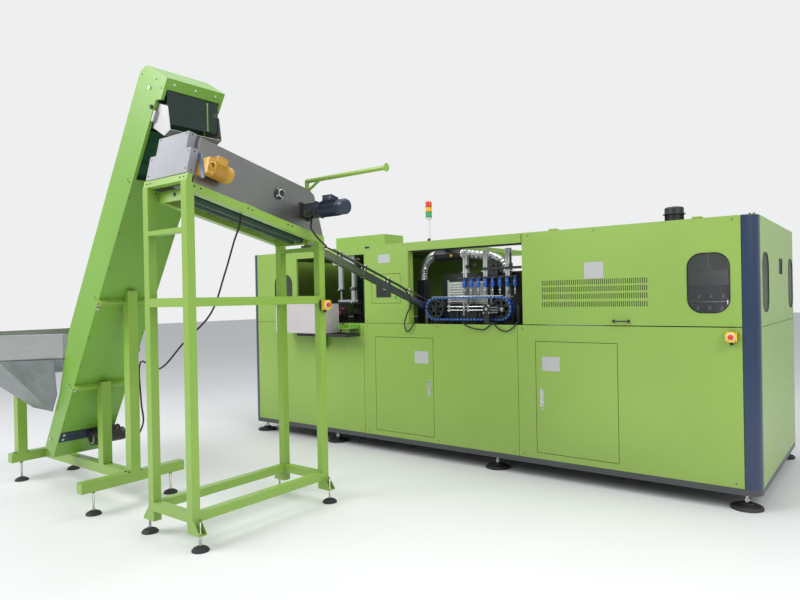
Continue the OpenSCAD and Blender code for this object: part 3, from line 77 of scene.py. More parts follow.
placeCamera()
print("camera placed")


# Shader maths: a socket that adds, subtracts and multiplies
def maths(op, flip=False):
    def run(self, other):
        a, b = (other, self) if flip else (self, other)
        return self.look.node("ShaderNodeMath", {0: a, 1: b}, operation=op)

    return run


class Val:
    def __init__(self, look, socket):
        self.look, self.socket = look, socket

    __add__, __radd__ = maths("ADD"), maths("ADD", True)
    __sub__, __rsub__ = maths("SUBTRACT"), maths("SUBTRACT", True)
    __mul__, __rmul__ = maths("MULTIPLY"), maths("MULTIPLY", True)


looks = {}


class Look:
    def __init__(self, name):
        self.mat = looks[name] = bpy.data.materials.new(name)
        self.mat.use_nodes = True
        self.tree = self.mat.node_tree
        self.tree.nodes.clear()
        self.out = self.tree.nodes.new("ShaderNodeOutputMaterial")
        self.bsdf = self.tree.nodes.new("ShaderNodeBsdfPrincipled")
        self.tree.links.new(self.bsdf.outputs[0], self.out.inputs[0])
        self.coord = self.node("ShaderNodeTexCoord", out="Object")

    def put(self, socket, value):
        if isinstance(value, Val):
            self.tree.links.new(value.socket, socket)
        else:
            socket.default_value = value

    def node(self, kind, inputs=None, out=0, **props):
        n = self.tree.nodes.new(kind)
        for k, v in props.items():
            setattr(n, k, v)
        for k, v in (inputs or {}).items():
            self.put(n.inputs[k], v)
        return Val(self, n.outputs[out])

    def set(self, **values):
        for k, v in values.items():
            self.put(self.bsdf.inputs[k.replace("_", " ")], v)

    def noise(self, scale, detail=3.0, rough=0.55, stretch=(1, 1, 1)):
        where = self.coord
        if stretch != (1, 1, 1):
            where = self.node("ShaderNodeMapping", {"Vector": self.coord, "Scale": stretch})
        return self.node(
            "ShaderNodeTexNoise", {"Vector": where, "Scale": scale, "Detail": detail, "Roughness": rough}
        )

    def band(self, value, low, high):
        span = {"Value": value, "From Min": low, "From Max": high}
        return self.node("ShaderNodeMapRange", span, interpolation_type="SMOOTHSTEP")

    def mix(self, factor, a, b):
        return self.node("ShaderNodeMix", {0: factor, 6: a, 7: b}, out=2, data_type="RGBA")

    def axis(self, i):
        return self.node("ShaderNodeSeparateXYZ", {0: self.coord}, out=i)

    def height(self):
        return self.axis(2)

    # 1 past an edge, given by where it starts and where it is over, in metres
    def past(self, i, edge):
        return self.band(self.axis(i), *edge)

    # 1 where a coordinate lies between two values in metres
    def between(self, i, low, high, edge=0.0004):
        v = self.axis(i)
        return self.band(v, low - edge, low + edge) * (1 - self.band(v, high - edge, high + edge))

    # Gives part of a node another colour, roughness and metal
    def region(self, where, c, rough, metallic=0.0):
        b = self.bsdf
        for key, value in (("Base Color", rgb(c)), ("Roughness", rough), ("Metallic", metallic)):
            old = b.inputs[key]
            was = Val(self, old.links[0].from_socket) if old.is_linked else old.default_value
            if key == "Base Color":
                tone = self.band(self.noise(9, 6), 0.3, 0.7)
                self.put(old, self.mix(where, was, self.mix(tone, rgb(c, 0.86), rgb(c, 1.12))))
            else:
                vary = (self.noise(30, 4) - 0.5) * 0.12 if key == "Roughness" else 0
                self.put(old, where * (value + vary) + (1 - where) * was)

    def bump(self, height, strength, distance):
        return self.node("ShaderNodeBump", {"Height": height, "Strength": strength, "Distance": distance})


def rgb(c, f=1.0):
    return tuple(min(1, v * f) for v in c[:3]) + (1.0,)


def paint(name, c, rough=0.34, grain=0.05, peel=0.12, wear=0.25, coat=0.25, bottomDarkening=0.0):
    k = Look(name)
    blotch = k.noise(1.1, 5)
    speck = k.noise(38, 3, 0.6)
    tone = k.band(blotch * 0.8 + speck * 0.2, 0.3, 0.7)
    col = k.mix(tone, rgb(c, 1 - grain), rgb(c, 1 + grain))
    scuff = k.band(k.noise(7, 9, 0.72), 0.6, 0.72) * k.band(k.noise(1.7, 2), 0.45, 0.65)
    col = k.mix(scuff * wear, col, rgb([v * 0.6 + 0.03 for v in c]))
    # Darker towards the bottom of the node, by the given amount
    if bottomDarkening:
        low = 1 - k.band(k.height() + (k.noise(5, 5) - 0.5) * 0.3, 0.12, 0.75)
        col = k.mix(low * bottomDarkening, col, rgb([v * 0.35 + 0.02 for v in c]))
    dust = k.noise(18, 6, 0.6)
    k.set(
        Base_Color=col,
        Roughness=rough + (dust - 0.5) * 0.22 + scuff * 0.12,
        Metallic=0.0,
        Coat_Weight=coat * (1 - scuff),
        Coat_Roughness=0.18,
        Normal=k.bump(k.noise(700, 2, 0.4) * 0.5 + k.noise(90, 2) * 0.5, peel, 0.0006),
    )
    return k


def metal(name, c, rough=0.34, grain=0.08, brush=(1, 1, 60), lines=0.25, scale=9, tarnish=0.15, metallic=1.0):
    k = Look(name)
    hair = k.noise(scale, 6, 0.7, brush)
    cloud = k.noise(1.6, 5)
    col = k.mix(k.band(hair * 0.5 + cloud * 0.5, 0.32, 0.68), rgb(c, 1 - grain), rgb(c, 1 + grain))
    spots = k.band(k.noise(11, 8, 0.7), 0.58, 0.75)
    col = k.mix(spots * tarnish, col, rgb([v * 0.5 for v in c]))
    k.set(
        Base_Color=col,
        Roughness=rough + (hair - 0.5) * lines + spots * 0.1,
        Metallic=metallic,
        Normal=k.bump(hair + k.noise(420, 2) * 0.3, 0.12, 0.0008),
    )
    return k


def soft(name, c, rough=0.6, grain=0.15, dust=0.2, bump=0.25):
    k = Look(name)
    col = k.mix(k.band(k.noise(6, 6), 0.3, 0.7), rgb(c, 1 - grain), rgb(c, 1 + grain))
    pale = k.band(k.noise(3, 7, 0.65), 0.5, 0.75)
    col = k.mix(pale * dust, col, rgb([v * 0.6 + 0.09 for v in c]))
    k.set(
        Base_Color=col,
        Roughness=rough + (k.noise(25, 5) - 0.5) * 0.25,
        Specular_IOR_Level=0.4,
        Normal=k.bump(k.noise(300, 4), bump, 0.0008),
    )
    return k


# Colours that more than one finish has
blackCoat = (0.02, 0.021, 0.023)
blackFinish = dict(c=blackCoat, rough=0.42, grain=0.2, wear=0.6, coat=0.1)
liftLime = (0.19, 0.395, 0.05)
motorYellow = (0.54, 0.30, 0.03)
motorNavy = (0.016, 0.026, 0.06)
sheetSteel = (0.60, 0.60, 0.585)
barSteel = (0.55, 0.55, 0.55)

paint("limePanel", (0.265, 0.425, 0.075), rough=0.38, grain=0.035, wear=0.12, bottomDarkening=0.12)
paint("limeFrame", (0.265, 0.445, 0.068), rough=0.32, grain=0.04, wear=0.1, bottomDarkening=0.15)
paint("limeLift", liftLime, rough=0.36, grain=0.04, wear=0.2, bottomDarkening=0.2)
paint("navyPost", (0.011, 0.030, 0.078), rough=0.3, grain=0.12, wear=0.05, coat=0.45)
paint("navyMotor", motorNavy, rough=0.4, grain=0.14, wear=0.5)
paint("darkBase", (0.05, 0.055, 0.06), rough=0.5, grain=0.15, wear=0.6)
paint("blackMetal", **blackFinish)
paint("greyMetal", (0.32, 0.335, 0.345), rough=0.4, grain=0.07, wear=0.4)
paint("yellowPaint", motorYellow, rough=0.36, grain=0.12, wear=0.6)
paint("plateWhite", (0.47, 0.475, 0.48), rough=0.3, grain=0.03, wear=0.15)
metal("stainless", sheetSteel, rough=0.3)
metal("chuteSteel", (0.44, 0.435, 0.43), rough=0.5, brush=(1, 1, 30), tarnish=0.3, metallic=0.6)
metal("railSteel", (0.34, 0.36, 0.31), rough=0.34, brush=(1, 30, 1), grain=0.1)
metal("galvanised", (0.30, 0.305, 0.325), rough=0.6, brush=(1, 1, 1), scale=26, grain=0.14, metallic=0.55)
metal("bright", (0.66, 0.66, 0.66), rough=0.2, brush=(1, 1, 8), grain=0.06, tarnish=0.3)
metal("aluminium", (0.62, 0.63, 0.64), rough=0.38, brush=(30, 30, 1), grain=0.06)
metal("foil", (0.55, 0.555, 0.56), rough=0.28, brush=(1, 1, 1), scale=60, grain=0.16, lines=0.35)
soft("rubber", (0.018, 0.018, 0.019), rough=0.7, dust=0.35)
soft("cableSkin", (0.012, 0.012, 0.013), rough=0.5, dust=0.1)
soft("belt", (0.025, 0.12, 0.055), rough=0.55)
soft("roller", (0.016, 0.05, 0.03), rough=0.35, dust=0.1)
soft("redPlastic", (0.72, 0.055, 0.015), rough=0.33, grain=0.06, dust=0.08, bump=0.05)
soft("greenPlastic", (0.02, 0.36, 0.16), rough=0.33, grain=0.06, dust=0.08, bump=0.05)
soft("yellowPlastic", (0.80, 0.56, 0.03), rough=0.36, grain=0.05, dust=0.1, bump=0.05)
soft("bluePlastic", (0.03, 0.13, 0.42), rough=0.38, grain=0.1, dust=0.1, bump=0.08)
soft("blackPlastic", (0.022, 0.022, 0.024), rough=0.42, dust=0.12, bump=0.1)
soft("whitePlastic", (0.72, 0.72, 0.70), rough=0.4, grain=0.04, dust=0.05, bump=0.05)


# Nodes of more than one finish, with the edges between these in metres
def troughLook():
    k = metal("troughSteel", (0.30, 0.30, 0.285), rough=0.36, brush=(1, 40, 1), grain=0.1, tarnish=0.3)
    bearing = (0.1797, 0.1800)
    k.region(k.past(0, bearing), (0.022, 0.023, 0.025), 0.4)


def rejectBoxLook():
    e = dict(tray=(1.2398, 1.2400), foot=(1.2049, 1.2051), shelfX=(-0.9479, -0.9475), shelfZ=(1.2405, 1.2500))
    k = metal("boxSteel", (0.66, 0.61, 0.61), rough=0.5, brush=(40, 1, 1), grain=0.05, metallic=0.5)
    tray = 1 - k.past(2, e["tray"])
    foot = 1 - k.past(2, e["foot"])
    shelf = k.past(0, e["shelfX"]) * k.past(2, e["shelfZ"])
    k.region(tray, blackCoat, 0.45)
    k.region(foot, (0.12, 0.28, 0.03), 0.4)
    k.region(shelf, liftLime, 0.4)


def hopperLook():
    k = metal("hopperSteel", sheetSteel, rough=0.3)
    # Below this height the hopper's taper is painted a dark steel, painted shade on its downward faces
    paintedShadeEdge = (1.155, 1.165)
    k.region(1 - k.past(2, paintedShadeEdge), (0.20, 0.225, 0.22), 0.34, 1.0)


def feetLook():
    k = soft("feet", (0.02, 0.02, 0.021), rough=0.6, dust=0.4)
    stud = (0.0475, 0.119)
    k.region(k.between(2, *stud), barSteel, 0.3, 1.0)


def chainLook():
    k = soft("chain", (0.025, 0.11, 0.50), rough=0.36, grain=0.12, dust=0.12, bump=0.08)
    spindles = (1.615, 1.6995)
    k.region(k.between(2, *spindles), barSteel, 0.25, 1.0)


def ovenLook():
    e = dict(lampX=(0.142, 0.667), lampY=(0.8385, 0.8625))
    k = paint("oven", **blackFinish)
    k.region(k.between(0, *e["lampX"]) * k.between(1, *e["lampY"]), (0.6, 0.6, 0.6), 0.3, 1.0)


def cylinderLook():
    k = metal("unit", (0.60, 0.61, 0.62), rough=0.32, brush=(1, 1, 20))
    barrels = (1.5575, 2.1)
    k.region(1 - k.between(2, *barrels), blackCoat, 0.45)


# How far a point lies along a leaning line from p, seen from the side that has axes i and 2
def along(k, i, p, degrees):
    a = math.radians(degrees)
    return (k.axis(i) - p[0]) * math.cos(a) - (k.height() - p[1]) * math.sin(a)


def motorLooks():
    e = dict(gearbox=(0.0673, 0.0679), gearHead=(0.3511, 0.3519), bootPlate=(0.0061, 0.0069))
    k = paint("drive", motorYellow, rough=0.36, grain=0.12, wear=0.6)
    k.region(1 - k.band(along(k, 1, (-2.265, 2.403), -fall), *e["gearbox"]), (0.075, 0.135, 0.25), 0.4)
    k = paint("kicker", motorNavy, rough=0.4, grain=0.14, wear=0.5)
    k.region(1 - k.past(0, e["gearHead"]), blackCoat, 0.45)
    k = paint("bootMotor", **blackFinish)
    k.region(1 - k.band(along(k, 0, (-1.9255, 0.3), lean), *e["bootPlate"]), (0.014, 0.024, 0.06), 0.4)


def stopBoxLook():
    e = dict(cabinetBox=(1.0, 1.1), cabinetBack=(0.4796, 0.4804), standBack=(0.2121, 0.2129))
    k = soft("stopBoxes", (0.82, 0.57, 0.03), rough=0.36, grain=0.05, dust=0.1, bump=0.05)
    onCabinet = k.past(0, e["cabinetBox"])
    backs = onCabinet * k.past(1, e["cabinetBack"]) + (1 - onCabinet) * (1 - k.past(0, e["standBack"]))
    k.region(backs, (0.03, 0.03, 0.032), 0.5)


troughLook()
rejectBoxLook()
hopperLook()
feetLook()
chainLook()
ovenLook()
cylinderLook()
motorLooks()
stopBoxLook()


def paneLook(name, c, alpha, rough):
    k = Look(name)
    smear = k.band(k.noise(2.5, 7, 0.6, (1, 1, 0.35)), 0.35, 0.75)
    k.set(
        Base_Color=k.mix(smear, rgb(c, 0.92), rgb(c, 1.06)),
        Roughness=rough + smear * 0.1,
        Alpha=alpha + smear * 0.06,
        Coat_Weight=0.6,
        Coat_Roughness=0.04,
        Normal=k.bump(k.noise(3, 2), 0.04, 0.002),
    )


paneLook("pane", (0.15, 0.158, 0.165), 0.16, 0.05)
paneLook("greenPane", (0.012, 0.035, 0.022), 0.78, 0.1)


# The tower's lamps: green below, amber, red on top
def lampLook():
    e = dict(red=(2.5149, 2.5155), amber=(2.4627, 2.4633))
    k = Look("lamps")
    top, mid = k.past(2, e["red"]), k.past(2, e["amber"])
    col = k.mix(mid, (0.02, 0.35, 0.10, 1), (0.85, 0.42, 0.02, 1))
    col = k.mix(top, col, (0.75, 0.04, 0.015, 1))
    ribs = k.node("ShaderNodeTexWave", {"Vector": k.coord, "Scale": 60.0}, out=1, bands_direction="Z")
    rough = 0.2 + k.noise(20) * 0.15
    k.set(Base_Color=col, Roughness=rough, Coat_Weight=0.4, Normal=k.bump(ribs, 0.3, 0.001))


lampLook()


# The nodes that wear each look; the others wear limePanel
wears = {
    "aluminium": "blow_frame mould_front mould_rear stretch_unit",
    "belt": "cleated_belt",
    "blackMetal": "lift_handle roof_fan machine_bed oven_drives "
    "drive_wheel idle_wheel takeout_wheel kicker_wheel",
    "blackPlastic": "touch_screen",
    "bootMotor": "elevator_motor",
    "boxSteel": "reject_boxes",
    "bright": "left_lock right_lock head_drum tail_drum",
    "cableSkin": "cables",
    "chain": "oven_chain",
    "chuteSteel": "discharge_chute",
    "darkBase": "base_frame",
    "drive": "roller_motor",
    "feet": "machine_feet",
    "foil": "air_duct",
    "galvanised": "end_guards",
    "greenPane": "elevator_window",
    "greenPlastic": "start_button",
    "hopperSteel": "hopper",
    "kicker": "kicker_motor",
    "lamps": "tower_lamps",
    "limeFrame": "body_frame stand_frame pipe_arm elevator_base",
    "limeLift": "elevator_casing",
    "navyPost": "corner_posts",
    "oven": "oven_frame",
    "pane": "window_glazing lift_glazing",
    "railSteel": "chute_rail",
    "redPlastic": "stop_button estop_button stand_estop_button",
    "roller": "front_roller rear_roller",
    "stopBoxes": "estop_boxes",
    "troughSteel": "trough",
    "unit": "transfer_unit",
    "whitePlastic": "tower_pole",
}
lookOf = {name: look for look, names in wears.items() for name in names.split()}
for name, ob in nodes.items():
    ob.data.materials.clear()
    ob.data.materials.append(looks[lookOf.get(name, "limePanel")])
print("looks made")


# Edges sharper than this stay sharp on a smooth piece
crease = math.radians(32)


# A piece gathers solids drawn in a local frame, in mm
class Piece:
    def __init__(self, name, place=base):
        self.name, self.place, self.bm = name, place, bmesh.new()

    def add(self, part, turn=None):
        part.transform(self.place @ turn if turn else self.place)
        mesh = bpy.data.meshes.new("tmp")
        part.to_mesh(mesh)
        part.free()
        self.bm.from_mesh(mesh)
        bpy.data.meshes.remove(mesh)

    def block(self, a, b, bevel=1.5, seg=2, turn=None):
        part = bmesh.new()
        lo, hi = Vector(map(min, a, b)), Vector(map(max, a, b))
        size = hi - lo
        spot = Matrix.Translation((lo + hi) / 2) @ Matrix.Diagonal((*size, 1))
        bmesh.ops.create_cube(part, size=1, matrix=spot)
        rounding = dict(offset=min(bevel, min(size) * 0.45), segments=seg, profile=0.5)
        bmesh.ops.bevel(part, geom=part.edges[:], affect="EDGES", material=-1, **rounding)
        self.add(part, turn)

    # The profile has pairs of radius and distance along the axis, which starts at p
    def lathe(self, profile, p, axis=upward, seg=32):
        part = bmesh.new()
        vs = [part.verts.new((r, 0, z)) for r, z in profile]
        es = [part.edges.new(vs[i : i + 2]) for i in range(len(vs) - 1)]
        full = dict(angle=math.tau, steps=seg, use_merge=True)
        bmesh.ops.spin(part, geom=vs + es, cent=(0, 0, 0), axis=upward, **full)
        bmesh.ops.remove_doubles(part, verts=part.verts[:], dist=1e-4)
        bmesh.ops.recalc_face_normals(part, faces=part.faces[:])
        q = Vector(upward).rotation_difference(Vector(axis)).to_matrix().to_4x4()
        part.transform(Matrix.Translation(p) @ q)
        self.add(part)

    # A stub with its far rim drawn in from r to top, over the last bit above side
    def cap(self, p, axis, r, side, top, h, seg=24):
        self.lathe([(0, 0), (r, 0), (r, side), (top, h), (0, h)], p, axis, seg)

    # A collar whose outer rims are drawn in by edge over a height of rise
    def ring(self, p, axis, inner, outer, h, edge, rise, seg=36):
        outside = [(outer - edge, 0), (outer, rise), (outer, h - rise), (outer - edge, h)]
        self.lathe([(inner, 0)] + outside + [(inner, h)], p, axis, seg)

    # A rivet's low dome
    def rivet(self, p, axis, r, top, side, h, seg=12):
        self.lathe([(0, 0), (r, 0), (top, side), (0, h)], p, axis, seg)

    # A low round screw with a socket
    def screw(self, p, axis, r, h=None):
        h = h or r * 0.55
        socket = [(r * 0.45, h), (r * 0.4, h * 0.4), (0, h * 0.4)]
        self.lathe([(0, 0), (r, 0), (r, h * 0.6), (r * 0.8, h)] + socket, p, axis, 12)

    # Fins round a centre, each a block drawn at the distance r above it
    def fins(self, p, axis, n, r, a, b, bevel):
        for i in range(n):
            turn = Matrix.Rotation(math.tau * i / n, 4, axis) @ Matrix.Translation((0, 0, r))
            self.block(a, b, bevel, 1, Matrix.Translation(p) @ turn)

    def rod(self, p, q, r, seg=20, bevel=1.0):
        d = Vector(q) - Vector(p)
        n = d.length
        b = min(bevel, r * 0.4, n * 0.4)
        outside = [(r - b, 0), (r, b), (r, n - b), (r - b, n)]
        self.lathe([(0, 0)] + outside + [(0, n)], p, d.normalized(), seg)

    # A hexagon bolt and its washer, with the head on the side that the axis points to
    def bolt(self, p, axis, r=8, h=6, washer=True):
        if washer:
            self.lathe([(0, 0), (r * 1.5, 0), (r * 1.5, 1.3), (r * 1.4, 1.8), (0, 1.8)], p, axis, 18)
            p = Vector(p) + Vector(axis).normalized() * 1.8
        self.lathe([(0, 0), (r, 0), (r, h - 1.2), (r * 0.82, h), (0, h)], p, axis, 6)

    # A round tube along the points
    def tube(self, pts, r, seg=8, closed=True):
        route = [Vector(p) for p in pts]
        part = bmesh.new()
        rings, m, side = [], len(route), None
        for i, p in enumerate(route):
            ahead = route[(i + 1) % m] if closed else route[min(i + 1, m - 1)]
            behind = route[i - 1] if closed else route[max(i - 1, 0)]
            t = (ahead - behind).normalized()
            if side is None:
                side = t.orthogonal()
            side = (side - side.dot(t) * t).normalized()
            up = t.cross(side)
            rings.append([part.verts.new(p + x * side + z * up) for x, z in onCircle(r, seg)])
        for i in range(m if closed else m - 1):
            a, b = rings[i], rings[(i + 1) % m]
            for k in range(seg):
                part.faces.new((a[k], a[(k + 1) % seg], b[(k + 1) % seg], b[k]))
        if not closed:
            part.faces.new(rings[0][::-1])
            part.faces.new(rings[-1])
        bmesh.ops.recalc_face_normals(part, faces=part.faces[:])
        self.add(part)

    # A flat outline in the XZ plane, thick along Y from y
    def plate(self, outline, y, t):
        part = bmesh.new()
        f = part.faces.new([part.verts.new((x, y, z)) for x, z in outline])
        geom = bmesh.ops.extrude_face_region(part, geom=[f])["geom"]
        moved = [v for v in geom if isinstance(v, bmesh.types.BMVert)]
        bmesh.ops.translate(part, vec=(0, t, 0), verts=moved)
        bmesh.ops.recalc_face_normals(part, faces=part.faces[:])
        self.add(part)

    def done(self, look, slot, body="machine"):
        mesh = bpy.data.meshes.new(self.name)
        self.bm.to_mesh(mesh)
        self.bm.free()
        ob = bpy.data.objects.new(self.name, mesh)
        scene.collection.objects.link(ob)
        mesh.materials.append(looks[look])
        for p in mesh.polygons:
            p.use_smooth = True
        mesh.set_sharp_from_angle(angle=crease)
        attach(ob, body)


# Points on a circle of radius r, n to a turn
def onCircle(r, n, start=0):
    turns = [math.radians(start) + math.tau * k / n for k in range(n)]
    return [(r * math.cos(a), r * math.sin(a)) for a in turns]


def roundRect(x, z, w, h, r, n=8):
    out = []
    left, right, low, high = x + r, x + w - r, z + r, z + h - r
    for cx, cz, a in ((right, high, 0), (left, high, 90), (left, low, 180), (right, low, 270)):
        for k in range(n + 1):
            t = math.radians(a + 90 * k / n)
            out.append((cx + r * math.cos(t), cz + r * math.sin(t)))
    return out


# Rubber seals round the window panes; a shape is foot, width, height and corner
def seals():
    d = dict(shape=(1455, 295, 450, 105), bead=3.2, leftX=-5037, doorX=-375, face=-0.5)
    e = dict(x=wallRight - 0.5, ys=(190, 1630), bead=2.4, small=(1050, 1755, 178, 130, 12))
    p = Piece("windowSeals")
    p.tube([(x, d["face"], z) for x, z in roundRect(d["leftX"], *d["shape"])], d["bead"])
    for y0 in e["ys"]:
        p.tube([(e["x"], y, z) for y, z in roundRect(y0, *d["shape"])], e["bead"])
    p.tube([(e["x"], y, z) for y, z in roundRect(*e["small"])], e["bead"])
    p.done("rubber", "black_rubber")
    p = Piece("liftWindowSeal")
    p.tube([(x, d["face"], z) for x, z in roundRect(d["doorX"], *d["shape"])], d["bead"])
    p.done("rubber", "black_rubber", "lift_door")


# Bare plates, each with four rivets; places are x, z, width and height
def barePlates():
    d = dict(corner=6, face=-1.2, thick=1.1, sunk=0.1, rivet=2.4, inset=6)
    spots = {
        "leftDoorPlate": (-2968, 949, 169, 124, "left_door"),
        "rightDoorPlate": (-1581, 949, 164, 124, "right_door"),
        "panelPlate": (-3423, 1978, 159, 88, "machine"),
        "liftDoorPlate": (-1186, 1742, 165, 137, "lift_door"),
    }
    for name, (x, z, w, h, body) in spots.items():
        p = Piece(name)
        p.plate(roundRect(x, z, w, h, d["corner"], 4), d["face"], d["thick"])
        for dx, dz in product((d["inset"], w - d["inset"]), (d["inset"], h - d["inset"])):
            p.rivet((x + dx, d["face"] + d["sunk"], z + dz), toFront, d["rivet"], 1.8, 1.0, 1.4, 10)
        p.done("plateWhite", "aluminium", body)


# The rollers' yellow motor: ribs, fan cover, box and bolts; s runs down the trough
def yellowMotor():
    d = dict(x=-2669, n=112, ribs=28, ribR=50, ribS=(129, 222), coverS=232, flangeS=124, boltR=50)
    box = dict(halfW=40, s=(140, 222), n=(194, 202), screwX=34, screwS=(146, 216))
    p = Piece("yellowMotorRibs", slope)
    s0, s1 = d["ribS"]
    p.fins((d["x"], 0, d["n"]), "Y", d["ribs"], d["ribR"], (-1.2, s0, -1), (1.2, s1, 7), 0.8)
    cover = [(50, 0), (59.5, 0), (59.5, 34), (54, 44), (20, 47), (20, 44)]
    p.lathe(cover, (d["x"], d["coverS"], d["n"]), toRear, 40)
    (s0, s1), (n0, n1) = box["s"], box["n"]
    p.block((d["x"] - box["halfW"], s0, n0), (d["x"] + box["halfW"], s1, n1), 2.5)
    for x, s in product((d["x"] - box["screwX"], d["x"] + box["screwX"]), box["screwS"]):
        p.bolt((x, s, n1), upward, 3.5, 3, False)
    for x, n in onCircle(d["boltR"], 4, 45):
        p.bolt((d["x"] + x, d["flangeS"], d["n"] + n), toRear, 5, 5)
    gland = [(16, 0), (24, 0), (26, 3), (26, 9), (22, 12), (16, 12)]
    p.lathe(gland, (d["x"] + 50, 90, d["n"]), toRight, 28)
    p.done("yellowPaint", "yellow_paint")


# The kicker's navy motor, out sideways from the trough
def navyMotor():
    d = dict(x=-2571, s=1055, n=130, ribs=26, ribR=56, ribX=(22, 192), coverX=218)
    box = dict(x=(40, 130), s=(1018, 1092), n=(181, 221), lidN=226, screwX=(42, 128), screwS=(1020, 1090))
    x0, (ribA, ribB) = d["x"], d["ribX"]
    p = Piece("kickerMotorRibs", slope)
    a, b = (x0 + ribA, -1.2, -1), (x0 + ribB, 1.2, 6.5)
    p.fins((0, d["s"], d["n"]), "X", d["ribs"], d["ribR"], a, b, 0.8)
    (xa, xb), (sa, sb), (na, nb) = box["x"], box["s"], box["n"]
    p.block((x0 + xa, sa, na), (x0 + xb, sb, nb), 4)
    p.block((x0 + xa - 4, sa - 4, nb - 4), (x0 + xb + 4, sb + 4, box["lidN"]), 3)
    for x, s in product(box["screwX"], box["screwS"]):
        p.bolt((x0 + x, s, box["lidN"]), upward, 3.5, 3, False)
    cover = [(50, 0), (58.5, 0), (58.5, 40), (52, 52), (24, 56), (24, 52)]
    p.lathe(cover, (x0 + d["coverX"], d["s"], d["n"]), toRight, 36)
    p.done("navyMotor", "navy_paint")


# Threaded studs and nuts of the levelling feet, in plain steel
def studs():
    d = dict(standX=(-2697, -3283), standY=(-2740, -1540), standTop=188, nutZ=105, liftTop=164)
    liftFeet = [(-3995, -2780), (-3995, -2120), (-5500, -2684), (-5500, -2216)]
    thread = []
    pitch, turns = 4.2, 36
    for i in range(turns):
        thread += [(8.15, 34 + i * pitch), (9.0, 36.1 + i * pitch)]
    p = Piece("levellingStuds")
    top = d["standTop"]
    rows = [t for t in thread if t[1] < top - 4] + [(8.15, top - 2), (7, top + 0.8), (0, top + 0.8)]
    for x, y in product(d["standX"], d["standY"]):
        p.lathe([(8.1, 33)] + rows, (x, y, 0), upward, 20)
        p.lathe([(9, 0), (14.6, 0), (14.6, 12), (12.5, 14), (9, 14)], (x, y, d["nutZ"]), upward, 6)
    rows = [t for t in thread if t[1] < d["liftTop"]]
    for x, y in liftFeet:
        p.lathe([(8.1, 33)] + rows + [(8.15, d["liftTop"] + 2)], (x, y, 0), upward, 20)
    p.done("bright", "bright_steel")


# Bolts of the elevator; u runs up its lean, x is 0 on its belly
def elevatorBolts():
    d = dict(bars=(750, 1570), ends=224, noseX=58, noseU=3332, motorU=215, clips=(1485, 1530), clipY=222)
    p = Piece("elevatorBolts", leant)
    for u, y in product(d["bars"], (-d["ends"], d["ends"])):
        for h in (14, 46):
            p.bolt((8, y, u - h), toRight, 8, 6)
    for y in (-170, 0, 170):
        p.bolt((d["noseX"], y, d["noseU"]), toRight, 7, 6)
    for u in (20, -28):
        p.bolt((6, -205, d["motorU"] + u), toRight, 7, 5)
    p.lathe([(36, 0), (46, 0), (47, 1), (47, 3), (45, 4), (36, 4)], (85, 0, d["motorU"]), toFront, 40)
    for y, u in product((-d["clipY"], d["clipY"]), d["clips"]):
        p.block((0.5, y - 16, u - 8), (7, y + 16, u + 8), 2)
        p.bolt((7, y, u), toRight, 5, 5, False)
    p.done("bright", "bright_steel")


# A strip down the elevator's curtain, with a clip at each end
def curtainStrip():
    d = dict(x=-3095, y=liftY + 117, z=(2858, 3062), half=5, clipHalf=8, clipZ=(2866, 3054))
    p = Piece("curtainStrip")
    x, y, (z0, z1) = d["x"], d["y"], d["z"]
    p.block((x, y - d["half"], z0), (x + 2, y + d["half"], z1), 0.6)
    for z in d["clipZ"]:
        p.block((x, y - d["clipHalf"], z - 5), (x + 2.6, y + d["clipHalf"], z + 5), 0.6)
    p.done("limeLift", "lime_paint")


# Screws on the elevator's sides and along its folded edges, and a knob on each side
def elevatorScrews():
    d = dict(side=240, edge=229, knob=(-20, 3130), barU=(700, 1540, 2540), barX=(-62, -34))
    headScrews = ((-250, 3290), (-60, 3318), (30, 3285), (34, 3200))
    p = Piece("elevatorScrews", leant)
    for k in (-1, 1):
        for x, u in headScrews:
            p.screw((x, k * d["side"], u), (0, k, 0), 5)
        knob = [(0, 0), (13, 0), (15, 2), (15, 12), (12, 15), (0, 15)]
        p.lathe(knob, (d["knob"][0], k * d["side"], d["knob"][1]), (0, k, 0), 22)
    for u, y in product((360, 640, 930, 1230, 1530, 1850, 2150, 2440), (-d["edge"], d["edge"])):
        p.screw((0, y, u), toRight, 5)
    for u, x in product(d["barU"], d["barX"]):
        for k in (-1, 1):
            p.screw((x, k * d["side"], u - x * 0.3), (0, k, 0), 5.5)
    p.done("blackMetal", "black_metal")


# Screws, tabs and guard screws of the feeder, down the slope of its trough
def feederFasteners():
    d = dict(right=-2735, left=-3185, edgeN=-22, frontS=5, frontN=25)
    p = Piece("standScrews", slope)
    for s, x in product((70, 120, 520, 560, 905, 945), (d["right"], d["left"])):
        p.screw((x, s, d["edgeN"]), toRight, 6)
    for x in (-3205, -3165, -2815, -2770):
        p.screw((x, d["frontS"], d["frontN"]), toFront, 6)
    p.done("blackMetal", "black_metal")
    t = dict(x=((-2790, -2738), (-3243, -3190)), s=(470, 600), n=(-1, 7))
    bolts = dict(x=(-2764, -3217), s=(490, 580))
    p = Piece("standTabs", slope)
    for a, b in t["x"]:
        p.block((a, t["s"][0], t["n"][0]), (b, t["s"][1], t["n"][1]), 2)
    for x, s in product(bolts["x"], bolts["s"]):
        p.bolt((x, s, t["n"][1]), upward, 6, 5)
    p.done("limeFrame", "lime_paint")
    p = Piece("guardScrews", slope)
    for x, n in ((-3195, 80), (-3195, 200), (-2765, 80), (-2765, 200), (-3125, 335), (-2825, 335)):
        p.screw((x, 0, n), toFront, 5)
    for s, n, x in ((30, 75, -2742), (30, 205, -2742), (30, 335, -2800)):
        p.screw((x, s, n), toRight, 5)
    p.done("blackMetal", "black_metal")


